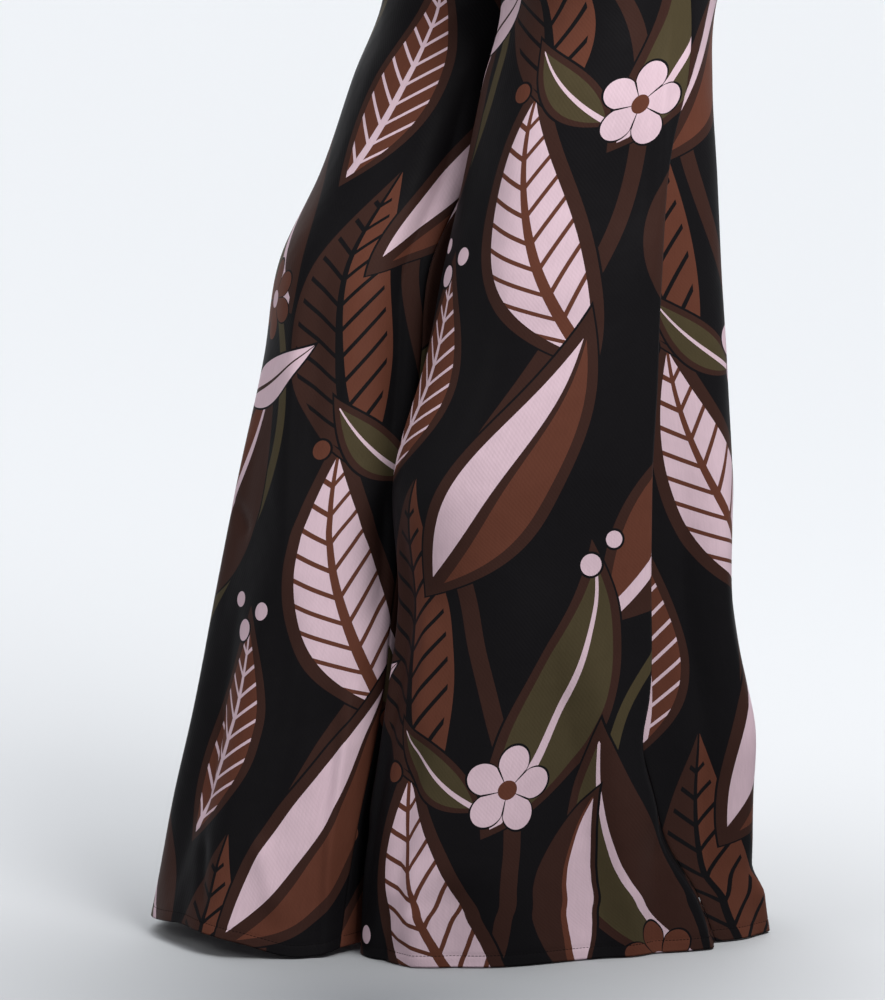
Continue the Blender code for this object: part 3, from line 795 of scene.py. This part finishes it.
def band_outline():
    """Plan points round the waistband's outer face, with directions outwards."""
    share = np.linspace(0.0, 1.0, BAND_COLUMNS // 2 + 1)
    left_half, right_half = (hip_plan(side, share, BAND_SECTION, False) for side in (LEFT, RIGHT))
    outline = np.concatenate((left_half[:-1], right_half[:0:-1]))
    following = np.roll(outline, -1, axis=0) - np.roll(outline, 1, axis=0)
    return outline, unit(points(following[:, 1], -following[:, 0]))


def band_gathers(turn, level):
    """How far the casing's uneven gathers stand out, by the way round in radians and the level."""
    wander = BAND_GATHER_WANDER * (np.sin(7 * turn) + np.sin(17 * turn + 1.3) + np.sin(29 * turn))
    depth = 0.7 + 0.2 * np.sin(11 * turn + 0.6) + 0.1 * np.sin(23 * turn)
    lean = 0.25 * np.sin(5 * turn + 1.0) * (level / BAND_HEIGHT + 0.5)
    wave = np.cos(BAND_GATHERS * turn + wander + lean)
    near = sum(np.exp(-(((level - line) / STITCH_LINE_WIDTH) ** 2)) for line in STITCH_LINES)
    near = np.clip(near, 0, 1)
    pinch = 1 - (1 - STITCH_LINE_PINCH) * near
    return BAND_GATHER_RISE * depth * wave * pinch - STITCH_LINE_SINK * near


def band_section():
    """The casing's section, as depths behind its outer face and levels below its top edge."""
    angle = WHOLE_TURN * (np.arange(BAND_PROFILE + 1) + 0.5) / BAND_PROFILE
    across = np.sign(np.cos(angle)) * np.abs(np.cos(angle)) ** BAND_SQUARE
    return 0.5 * BAND_THICKNESS * (1 - across), 0.5 * BAND_HEIGHT * (np.sin(angle) - 1)


def waistband(sizes, materials):
    """A casing of the printed cloth, gathered over an elastic."""
    outline, normal = band_outline()
    around = np.arange(BAND_COLUMNS + 1)
    turn = WHOLE_TURN * around / BAND_COLUMNS
    depths, levels = (values[:, None] for values in band_section())
    rise = BAND_PROUD - depths + band_gathers(turn[None, :], levels)
    plan = outline[around % BAND_COLUMNS] + rise[..., None] * normal[around % BAND_COLUMNS]
    grid = np.concatenate((plan, np.broadcast_to(levels, rise.shape)[..., None]), axis=-1)
    along = np.cumsum(np.hypot(np.diff(depths, axis=0), np.diff(levels, axis=0)))
    width = turn / WHOLE_TURN * sizes.band_cut
    flat = points(*np.broadcast_arrays(width, np.append(0.0, along)[:, None]))
    mesh, _, _ = sheet_grid(grid, flat + np.array(BAND_CUT))
    bmesh.ops.remove_doubles(mesh, verts=mesh.verts[:], dist=MERGE)
    bmesh.ops.recalc_face_normals(mesh, faces=mesh.faces[:])
    piece = add_piece("waistband_casing", mesh, materials)
    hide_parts("waistband")
    return piece


def waistband_stitching(sizes, thread):
    """Two rows of stitching along the casing."""
    outline, normal = band_outline()
    turn = WHOLE_TURN * np.arange(BAND_COLUMNS) / BAND_COLUMNS
    outward = points(*normal.T, np.zeros(BAND_COLUMNS))
    rows = []
    for level in STITCH_LINES:
        rise = BAND_PROUD + band_gathers(turn, level) + BAND_THREAD_PROUD * sizes.thread
        plan = outline + rise[:, None] * normal
        line = points(*plan.T, np.full(BAND_COLUMNS, level))
        rows.append((np.concatenate((line, line[:1])), np.concatenate((outward, outward[:1]))))
    mesh = stitch_rows(rows, sizes)
    return add_piece("waistband_stitching", mesh, [thread])


# ---- materials


def emptied(data):
    """The node tree of a new material or world, with nothing in it."""
    data.use_nodes = True
    data.node_tree.nodes.clear()
    return data.node_tree


def add(tree, kind, *inputs, **settings):
    """A node of a kind such as "Mix" or "Math ADD", with its settings and with its inputs linked or set
    in order. A name in settings that isn't the node's own is an input's, with _ for each space."""
    kind, *operation = kind.split()
    node = tree.nodes.new(kind if kind.startswith("NodeGroup") else f"ShaderNode{kind}")
    if operation:
        node.operation = operation[0]
    named = {}
    for name, value in settings.items():
        if hasattr(node, name):
            setattr(node, name, value)
        else:
            named[name.replace("_", " ")] = value
    pairs = [*zip(node.inputs, inputs), *((node.inputs[name], value) for name, value in named.items())]
    for socket, value in pairs:
        if isinstance(value, bpy.types.Node):
            value = value.outputs[0]
        if isinstance(value, bpy.types.NodeSocket):
            tree.links.new(value, socket)
        elif value is not None:
            socket.default_value = value
    return node


def new_group(name, vectors, numbers):
    """A node group that gives the ink at a place, with its sockets and nothing else yet."""
    group = bpy.data.node_groups.new(name, "ShaderNodeTree")
    for names, kind in ((vectors, "Vector"), (numbers, "Float")):
        for socket in names:
            group.interface.new_socket(name=socket, in_out="INPUT", socket_type=f"NodeSocket{kind}")
    group.interface.new_socket(name="Ink", in_out="OUTPUT", socket_type="NodeSocketFloat")
    return group, group.nodes.new("NodeGroupInput").outputs


MOTIF_VECTORS = ("Cell", "Middle", "Along", "Across")
TO_COLOURS = [None] * 5  # passes over a mix's sockets between its share and its two colours


def in_motif(group, given):
    """A place from the middle of the nearest copy of a motif, in shares of its length and width."""
    away = add(group, "VectorMath SUBTRACT", given["Cell"], given["Middle"])
    near = add(group, "VectorMath WRAP", away, (0.5, 0.5, 0.5), (-0.5, -0.5, -0.5))
    return [
        add(group, "VectorMath DOT_PRODUCT", near, given[way]).outputs["Value"]
        for way in ("Along", "Across")
    ]


def over_ground(group, given, edge, ink):
    """Ends a motif's group: its ink inside its edge, and a line of bare ground round it."""
    line = add(group, "Math MULTIPLY", given["Line"], -1.0)
    outside = add(group, "Math LESS_THAN", edge, line)
    bared = add(group, "Math MULTIPLY", given["Under"], outside)
    inside = add(group, "Math GREATER_THAN", edge, 0.0)
    result = add(group, "Mix", inside, None, bared, ink)
    add(group, "NodeGroupOutput", result)


def leaf_group(veined):
    """A bent leaf in two tones with a midrib, and veins if it has them."""
    numbers = ["Line", "Bend", "Upper", "Lower", "Rib", "Vein turns", "Vein slant", "Border"]
    numbers += ["Edge ink", "Under"]
    group, given = new_group("Veined leaf" if veined else "Plain leaf", MOTIF_VECTORS, numbers)
    run, aside = in_motif(group, given)
    run = add(group, "Clamp", run, -LEAF_REACH, LEAF_REACH)
    squared = add(group, "Math MULTIPLY", run, run)
    unbent = add(group, "Math MULTIPLY_ADD", squared, given["Bend"], aside)
    out = add(group, "Math ABSOLUTE", unbent)
    rounded = add(group, "Math SUBTRACT", 1.0, squared)
    pointed = add(group, "Math MULTIPLY_ADD", run, -LEAF_TAPER, 1.0)
    half = add(group, "Math MULTIPLY", rounded, pointed)
    edge = add(group, "Math SUBTRACT", half, out)
    is_upper = add(group, "Math GREATER_THAN", unbent, 0.0)
    tone = add(group, "Mix", is_upper, None, given["Lower"], given["Upper"])
    rib_half = add(group, "Math MULTIPLY_ADD", run, -RIB_TAPER, RIB_HALF)
    drawn = add(group, "Math LESS_THAN", out, rib_half)
    if veined:
        start = add(group, "Math MULTIPLY", run, given["Vein turns"])
        count = add(group, "Math MULTIPLY_ADD", out, given["Vein slant"], start)
        part = add(group, "Math FRACT", count)
        vein = add(group, "Math COMPARE", part, 0.5, VEIN_HALF)
        clear = add(group, "Math GREATER_THAN", edge, VEIN_MARGIN)
        shown = add(group, "Math MULTIPLY", vein, clear)
        drawn = add(group, "Math MAXIMUM", drawn, shown)
    ink = add(group, "Mix", drawn, None, tone, given["Rib"])
    in_border = add(group, "Math LESS_THAN", edge, given["Border"])
    ink = add(group, "Mix", in_border, None, ink, given["Edge ink"])
    over_ground(group, given, edge, ink)
    return group


def round_group(petalled):
    """A flower with a round heart, or a plain berry."""
    numbers = ("Line", "Half petals", "Ink", "Heart", "Under")
    group, given = new_group("Flower" if petalled else "Berry", MOTIF_VECTORS, numbers)
    x, y = in_motif(group, given)
    squared = add(group, "Math MULTIPLY", x, x)
    squared = add(group, "Math MULTIPLY_ADD", y, y, squared)
    radius = add(group, "Math SQRT", squared)
    ink, reach = given["Ink"], 1.0
    if petalled:
        angle = add(group, "Math ARCTAN2", y, x)
        angle = add(group, "Math MULTIPLY", angle, given["Half petals"])
        wave = add(group, "Math COSINE", angle)
        petal = add(group, "Math ABSOLUTE", wave)
        lobe = add(group, "Math POWER", petal, PETAL_ROUND)
        reach = add(group, "Math MULTIPLY_ADD", lobe, PETAL_DEPTH, 1 - PETAL_DEPTH)
        in_heart = add(group, "Math LESS_THAN", radius, HEART_RADIUS)
        groove = add(group, "Math GREATER_THAN", petal, PETAL_GROOVE)
        parted = add(group, "Math MULTIPLY", groove, ink)
        ink = add(group, "Mix", in_heart, None, parted, given["Heart"])
    edge = add(group, "Math SUBTRACT", reach, radius)
    over_ground(group, given, edge, ink)
    return group


def stem_group():
    """A stem that sways from side to side up the cloth, one in each column of the repeat."""
    numbers = ("Column", "Sway", "Phase", "Half width", "Line", "Ink", "Under")
    group, given = new_group("Stem", ["Cell"], numbers)
    cell = add(group, "SeparateXYZ", given["Cell"])
    away = add(group, "Math SUBTRACT", cell.outputs["X"], given["Column"])
    near = add(group, "Math WRAP", away, 0.5, -0.5)
    rise = add(group, "Math MULTIPLY_ADD", near, 0.5, cell.outputs["Y"])
    angle = add(group, "Math MULTIPLY_ADD", rise, WHOLE_TURN, given["Phase"])
    wave = add(group, "Math SINE", angle)
    sway = add(group, "Math MULTIPLY", wave, given["Sway"])
    aside = add(group, "Math SUBTRACT", near, sway)
    apart = add(group, "Math ABSOLUTE", aside)
    edge = add(group, "Math SUBTRACT", given["Half width"], apart)
    over_ground(group, given, edge, given["Ink"])
    return group


def steps_in_cell(turn, length, width, sizes):
    """Vectors that turn a place in the repeat's cell into shares of a motif's length and width."""
    wide, tall = sizes.repeat_width / MM, sizes.repeat_height / MM
    c, s = math.cos(math.radians(turn)), math.sin(math.radians(turn))
    along = ((wide * c + 0.5 * tall * s) / length, tall * s / length, 0.0)
    across = ((-wide * s + 0.5 * tall * c) / width, tall * c / width, 0.0)
    return along, across


def print_ink(tree, flat, sizes):
    """The number of the ink at each place of the flat cloth."""
    wide, tall = sizes.repeat_width, sizes.repeat_height
    column, row = (
        add(tree, "VectorMath DOT_PRODUCT", flat, steps).outputs["Value"]
        for steps in ((1 / wide, 0.0, 0.0), (-0.5 / wide, 1 / tall, 0.0))
    )
    cell = add(tree, "CombineXYZ", column, row, 0.0)

    def middle(motif):
        across = motif.across * MM / wide
        return (across, motif.up * MM / tall - 0.5 * across, 0.0)

    ink, scale = GROUND, MM / wide
    group = stem_group()
    for stem in STEMS:
        ink = add(
            tree, "Group", node_tree=group, Cell=cell, Column=stem.across * scale,
            Sway=stem.sway * scale, Phase=stem.phase, Half_width=stem.half_width * scale,
            Line=OUTLINE * scale, Ink=stem.ink, Under=ink,
        )
    plain, veined = leaf_group(False), leaf_group(True)
    for leaf in LEAVES:
        along, across = steps_in_cell(leaf.turn, leaf.length, leaf.width, sizes)
        veins = leaf.veins or 1
        ink = add(
            tree, "Group", node_tree=veined if leaf.veins else plain, Cell=cell, Middle=middle(leaf),
            Along=along, Across=across, Line=OUTLINE / leaf.width, Bend=-leaf.bend / leaf.width,
            Upper=leaf.upper, Lower=leaf.lower, Rib=leaf.rib, Vein_turns=leaf.length / veins,
            Vein_slant=-VEIN_SLANT * leaf.width / veins, Border=leaf.border / leaf.width,
            Edge_ink=leaf.edge, Under=ink,
        )
    flower, berry = round_group(True), round_group(False)
    for motif in (*FLOWERS, *BERRIES):
        petals = getattr(motif, "petals", 0)
        along, across = steps_in_cell(getattr(motif, "turn", 0), motif.radius, motif.radius, sizes)
        ink = add(
            tree, "Group", node_tree=flower if petals else berry, Cell=cell, Middle=middle(motif),
            Along=along, Across=across, Line=OUTLINE / motif.radius, Half_petals=0.5 * petals,
            Ink=motif.ink, Heart=getattr(motif, "heart", GROUND), Under=ink,
        )
    return ink


def ink_colours(tree, ink, colours):
    """The five inks' colours."""
    ramp = add(tree, "ValToRGB", ink)
    ramp.color_ramp.interpolation = "CONSTANT"
    shades = {
        GROUND: colours.ground, BROWN: colours.brown, RUST: colours.rust, OLIVE: colours.olive,
        PINK: colours.pink,
    }
    stops = ramp.color_ramp.elements
    while len(stops) < len(shades):
        stops.new(1.0)
    for stop, (number, colour) in zip(stops, shades.items()):
        stop.position = max(0.0, number - INK_STEP)
        stop.color = (*colour, 1.0)
    return ramp.outputs["Color"]


def silk_twill(name, sizes, colours, reverse):
    """Printed silk twill: fine diagonal ribs and a smooth lustre, softer and paler on the reverse."""
    material = bpy.data.materials.new(name)
    tree = emptied(material)
    flat = add(tree, "UVMap", uv_map=FLAT_CLOTH)
    printed = ink_colours(tree, print_ink(tree, flat, sizes), colours)
    blotches = add(tree, "TexNoise", flat, noise_dimensions="2D", Scale=BLOTCH_SCALE, Detail=3.0)
    stretched = add(tree, "Mapping", flat, Scale=STREAK_SCALE)
    streaks = add(tree, "TexNoise", stretched, noise_dimensions="2D", Scale=1.0, Detail=1.0)
    both = add(tree, "Math ADD", blotches.outputs["Fac"], streaks.outputs["Fac"])
    tint = add(tree, "MapRange", both, *NOISE_SPAN, 1.0 - DYE_VARIATION, 1.0 + DYE_VARIATION)
    colour = add(tree, "VectorMath SCALE", printed, Scale=tint)
    if reverse:
        plain = (*colours.reverse, 1.0)
        mixed = add(tree, "Mix", SHOW_PLAIN, *TO_COLOURS, colour, plain, data_type="RGBA")
        colour = mixed.outputs[2]
    ribs = add(
        tree, "TexWave", flat, bands_direction="DIAGONAL", wave_type="BANDS", Scale=RIB_SCALE,
        Distortion=0.6, Detail=1.0, Detail_Scale=0.4,
    )
    waves = add(tree, "TexNoise", flat, noise_dimensions="2D", Scale=WAVE_SCALE, Detail=2.0)
    rib_height = add(tree, "Math MULTIPLY", ribs.outputs["Fac"], RIB_HEIGHT)
    height = add(tree, "Math MULTIPLY_ADD", waves.outputs["Fac"], WAVE_HEIGHT, rib_height)
    relief = add(tree, "Bump", Strength=1.0, Distance=1.0, Height=height)
    roughness = REVERSE_ROUGHNESS if reverse else FACE_ROUGHNESS
    shader = add(
        tree, "BsdfPrincipled", Base_Color=colour, Normal=relief, Roughness=roughness,
        Specular_IOR_Level=0.04, IOR=1.5,
    )
    add(tree, "OutputMaterial", shader)
    return material


def sewing_thread(colours):
    """Spun sewing thread: matt near-black, so that stitches show as a fine line on the paler inks."""
    material = bpy.data.materials.new("Spun sewing thread")
    tree = emptied(material)
    place = add(tree, "TexCoord").outputs["Object"]
    twist = add(tree, "TexNoise", place, Scale=TWIST_SCALE, Detail=1.0)
    shade = add(tree, "MapRange", twist.outputs["Fac"], *TWIST_SPAN, *TWIST_SHADES)
    colour = add(tree, "VectorMath SCALE", tuple(colours.thread), Scale=shade)
    shader = add(tree, "BsdfPrincipled", Base_Color=colour, Roughness=0.85, Specular_IOR_Level=0.05)
    add(tree, "OutputMaterial", shader)
    return material


def painted_floor(studio):
    """Matt painted studio floor: pale, with a painted shadow that greys its colour round the hems, where
    the garment keeps the light off.
    """
    material = bpy.data.materials.new("Matt painted floor")
    tree = emptied(material)
    place = add(tree, "TexCoord").outputs["Object"]
    # Painted shadow: the base colour goes from the far tone to the darker one nearer the point below the
    # hems.
    middle = camera_target() + from_camera(*FLOOR_PAINTED_SHADOW_PLACE)
    away = add(tree, "VectorMath DISTANCE", place, (middle.x, middle.y, -WAIST_HEIGHT))
    scaled = add(tree, "Math MULTIPLY", away.outputs["Value"], -1 / FLOOR_PAINTED_SHADOW_REACH)
    shade = add(tree, "Math EXPONENT", scaled)
    far, near = (*studio.far_floor, 1.0), (*studio.floor_painted_shadow, 1.0)
    mixed = add(tree, "Mix", shade, *TO_COLOURS, far, near, data_type="RGBA")
    colour = mixed.outputs[2]
    shader = add(tree, "BsdfPrincipled", Base_Color=colour, Roughness=0.85, Specular_IOR_Level=0.2)
    add(tree, "OutputMaterial", shader)
    return material


# ---- stage


def from_camera(right, up, nearer):
    """A step given by the camera's own right, up and towards it, level with the floor."""
    c, s = math.cos(CAMERA_AZIMUTH), math.sin(CAMERA_AZIMUTH)
    return Vector((right * c + nearer * s, right * s - nearer * c, up))


def camera_target():
    """The point that the camera looks at."""
    return from_camera(*LOOK_AT)


def add_camera():
    """A long lens, level and a little above the knees."""
    data = bpy.data.cameras.new("Camera")
    data.lens = CAMERA_LENS
    data.sensor_fit = "VERTICAL"
    data.sensor_height = data.sensor_width = SENSOR
    data.clip_end = 200.0
    back = from_camera(0.0, math.sin(CAMERA_DROP), math.cos(CAMERA_DROP))
    camera = bpy.data.objects.new("Camera", data)
    camera.location = camera_target() + CAMERA_DISTANCE * back
    camera.rotation_euler = back.to_track_quat("Z", "Y").to_euler()
    bpy.context.scene.collection.objects.link(camera)
    bpy.context.scene.camera = camera


def add_lamp(lamp, strength):
    """A round softbox or a soft sun in its place, shining on the point looked at."""
    data = bpy.data.lights.new(lamp.name, lamp.kind)
    data.energy, data.color = strength, lamp.colour
    if lamp.kind == "AREA":
        data.shape, data.size = "DISK", lamp.size
    else:
        data.angle = lamp.size
    towards = from_camera(*lamp.place)
    made = bpy.data.objects.new(lamp.name, data)
    made.location = camera_target() + towards
    made.rotation_euler = towards.to_track_quat("Z", "Y").to_euler()
    made.visible_camera = False
    bpy.context.scene.collection.objects.link(made)


def add_floor(studio):
    """A round floor that reaches the horizon."""
    mesh = bmesh.new()
    bmesh.ops.create_circle(
        mesh, cap_ends=True, segments=FLOOR_SEGMENTS, radius=FLOOR_RADIUS,
        matrix=Matrix.Translation((0.0, 0.0, -WAIST_HEIGHT)),
    )
    floor = add_object("studio_floor", mesh, [painted_floor(studio)])
    floor.visible_diffuse = False  # the room light's lower part stands in for its glow


def add_room_light(studio):
    """Soft light from pale walls, with less from above them and from the floor."""
    world = bpy.data.worlds.new("Pale studio")
    tree = emptied(world)
    level = add(tree, "SeparateXYZ", add(tree, "TexCoord").outputs["Generated"]).outputs["Z"]
    walls = add(
        tree, "MapRange", level, *WALL_TOP, studio.wall_strength, studio.room_strength,
        interpolation_type="SMOOTHSTEP",
    )
    risen = add(tree, "MapRange", level, *WALL_FOOT, studio.floor_glow, 1.0)
    strength = add(tree, "Math MULTIPLY", walls, risen)
    add(tree, "OutputWorld", add(tree, "Background", (*studio.room, 1.0), strength))
    bpy.context.scene.world = world


# ---- settings


def length_setting(name, description, default, low, high):
    """A length in metres that a user can change."""
    return FloatProperty(
        name=name, description=description, default=default, min=low, max=high, unit="LENGTH",
        precision=5,
    )


def strength_setting(name, description, default, high):
    """A strength of light that a user can change."""
    return FloatProperty(name=name, description=description, default=default, min=0.0, max=high)


def colour_setting(name, description, code):
    """A colour that a user can change, from its sRGB hex code."""
    return FloatVectorProperty(
        name=name, description=description, default=linear(code), size=3, min=0.0, max=1.0,
        subtype="COLOR",
    )


class PantsSizes(bpy.types.PropertyGroup):
    """Sizes of the cloth, its seams and stitches, and the print's repeat"""

    cloth_thickness: length_setting(
        "Cloth thickness", "Thickness of the silk twill as shown", 0.0004, 0.0001, 0.002
    )
    hem_depth: length_setting("Hem depth", "Cloth turned up inside each leg", 0.010, 0.005, 0.040)
    seam_allowance: length_setting("Seam allowance", "Cloth turned in at each seam", 0.010, 0.004, 0.020)
    band_cut: length_setting(
        "Waistband cut", "Length of the waistband's strip before it is gathered", 1.0, 0.80, 1.50
    )
    thread: length_setting("Thread", "Diameter of the sewing thread", 0.0005, 0.0002, 0.001)
    stitch_length: length_setting(
        "Stitch length", "Length of a stitch on the outside", 0.0024, 0.001, 0.006
    )
    stitch_gap: length_setting("Stitch gap", "Space between two stitches", 0.0006, 0.0002, 0.003)
    repeat_width: length_setting(
        "Repeat width", "Width of the print's half-drop repeat", 0.340, 0.10, 1.0
    )
    repeat_height: length_setting(
        "Repeat height", "Height of the print's half-drop repeat", 0.560, 0.10, 1.5
    )


class PantsColours(bpy.types.PropertyGroup):
    """Colours of the inks, the reverse and the thread"""

    ground: colour_setting("Ground", "Near-black ground of the print", "#131214")
    brown: colour_setting("Dark brown", "Dark brown ink of the print", "#38241f")
    rust: colour_setting("Rust", "Rust ink of the print", "#5d372b")
    olive: colour_setting("Olive", "Olive ink of the print", "#463e2c")
    pink: colour_setting("Pale pink", "Pale pink ink of the print", "#d1b8c3")
    reverse: colour_setting("Reverse", "Tone that the cloth's unprinted side adds", "#6a6063")
    thread: colour_setting("Thread", "Sewing thread", "#0c0a0b")


class PantsStudio(bpy.types.PropertyGroup):
    """The floor, the room and the lamps"""

    # A painted shadow: the floor's colour round the hems, darker where the garment keeps the light off.
    floor_painted_shadow: colour_setting("Floor near", "Floor round the hems", "#7b7e82")
    far_floor: colour_setting("Floor far", "Floor away from the garment", "#f6f8fb")
    room: colour_setting("Room", "Colour of the soft light from all round", "#fafbff")
    wall_strength: strength_setting(
        "Wall light", "Strength of the light from the pale walls", 0.86, 5.0
    )
    room_strength: strength_setting(
        "Room light", "Strength of the light from the rest of the room", 0.06, 5.0
    )
    floor_glow: strength_setting(
        "Floor glow", "Light from the floor, as a share of the light from the walls", 0.2, 1.0
    )
    key_strength: strength_setting("Key light", "Power of the main softbox, in watts", 24.0, 500.0)
    fill_strength: strength_setting(
        "Fill light", "Power of the softbox on the other side, in watts", 6.0, 500.0
    )
    back_strength: strength_setting(
        "Back light", "Strength of the soft light from behind the garment", 0.8, 10.0
    )
    ceiling_strength: strength_setting(
        "Ceiling light", "Strength of the soft light from above", 2.4, 10.0
    )


# ---- operators


class PALAZZO_OT_panels(bpy.types.Operator):
    """Cuts the four panels of printed silk twill, creased, seamed and hemmed"""

    bl_idname = "palazzo.panels"
    bl_label = "Panels and hem stitching"

    def execute(self, context):
        sizes, colours = context.scene.palazzo_sizes, context.scene.palazzo_colours
        materials = (
            silk_twill("Printed silk twill, face", sizes, colours, False),
            silk_twill("Printed silk twill, reverse", sizes, colours, True),
        )
        thread = sewing_thread(colours)
        for side in (LEFT, RIGHT):
            for face in ("front", "back"):
                piece, flat, area = panel(side, face, sizes, materials)
                stitching = hem_stitching(side, face, sizes, thread)
        return {"FINISHED"}


class PALAZZO_OT_waistband(bpy.types.Operator):
    """Gathers the casing of the waistband and stitches it"""

    bl_idname = "palazzo.waistband"
    bl_label = "Waistband"

    def execute(self, context):
        sizes = context.scene.palazzo_sizes
        piece = waistband(sizes, [bpy.data.materials["Printed silk twill, face"]])
        stitching = waistband_stitching(sizes, bpy.data.materials["Spun sewing thread"])
        return {"FINISHED"}


class PALAZZO_OT_stage(bpy.types.Operator):
    """Lays the pale floor and sets the soft lights and the camera"""

    bl_idname = "palazzo.stage"
    bl_label = "Studio"

    def execute(self, context):
        studio = context.scene.palazzo_studio
        add_floor(studio)
        add_room_light(studio)
        for lamp in LAMPS:
            add_lamp(lamp, getattr(studio, lamp.strength))
        add_camera()
        context.scene.view_settings.view_transform = "Standard"
        return {"FINISHED"}


class VIEW3D_PT_palazzo(bpy.types.Panel):
    """Sizes, colours and steps of the palazzo pants"""

    bl_label = "Palazzo pants"
    bl_space_type = "VIEW_3D"
    bl_region_type = "UI"
    bl_category = "Palazzo pants"

    def draw(self, context):
        for name in SETTINGS:
            settings = getattr(context.scene, name)
            box = self.layout.box()
            for setting in settings.__annotations__:
                box.prop(settings, setting)
        for step in STEPS:
            self.layout.operator(step.bl_idname)


SETTINGS = {
    "palazzo_sizes": PantsSizes, "palazzo_colours": PantsColours, "palazzo_studio": PantsStudio,
}
STEPS = (PALAZZO_OT_panels, PALAZZO_OT_waistband, PALAZZO_OT_stage)
CLASSES = (*SETTINGS.values(), *STEPS, VIEW3D_PT_palazzo)


def register():
    for kind in CLASSES:
        bpy.utils.register_class(kind)
    for name, kind in SETTINGS.items():
        setattr(bpy.types.Scene, name, PointerProperty(type=kind))


def unregister():
    for name in SETTINGS:
        delattr(bpy.types.Scene, name)
    for kind in reversed(CLASSES):
        bpy.utils.unregister_class(kind)


def main():
    """Makes the garment and its studio."""
    register()
    bpy.ops.palazzo.panels()
    bpy.ops.palazzo.waistband()
    bpy.ops.palazzo.stage()
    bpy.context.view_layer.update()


if __name__ == "__main__":
    main()
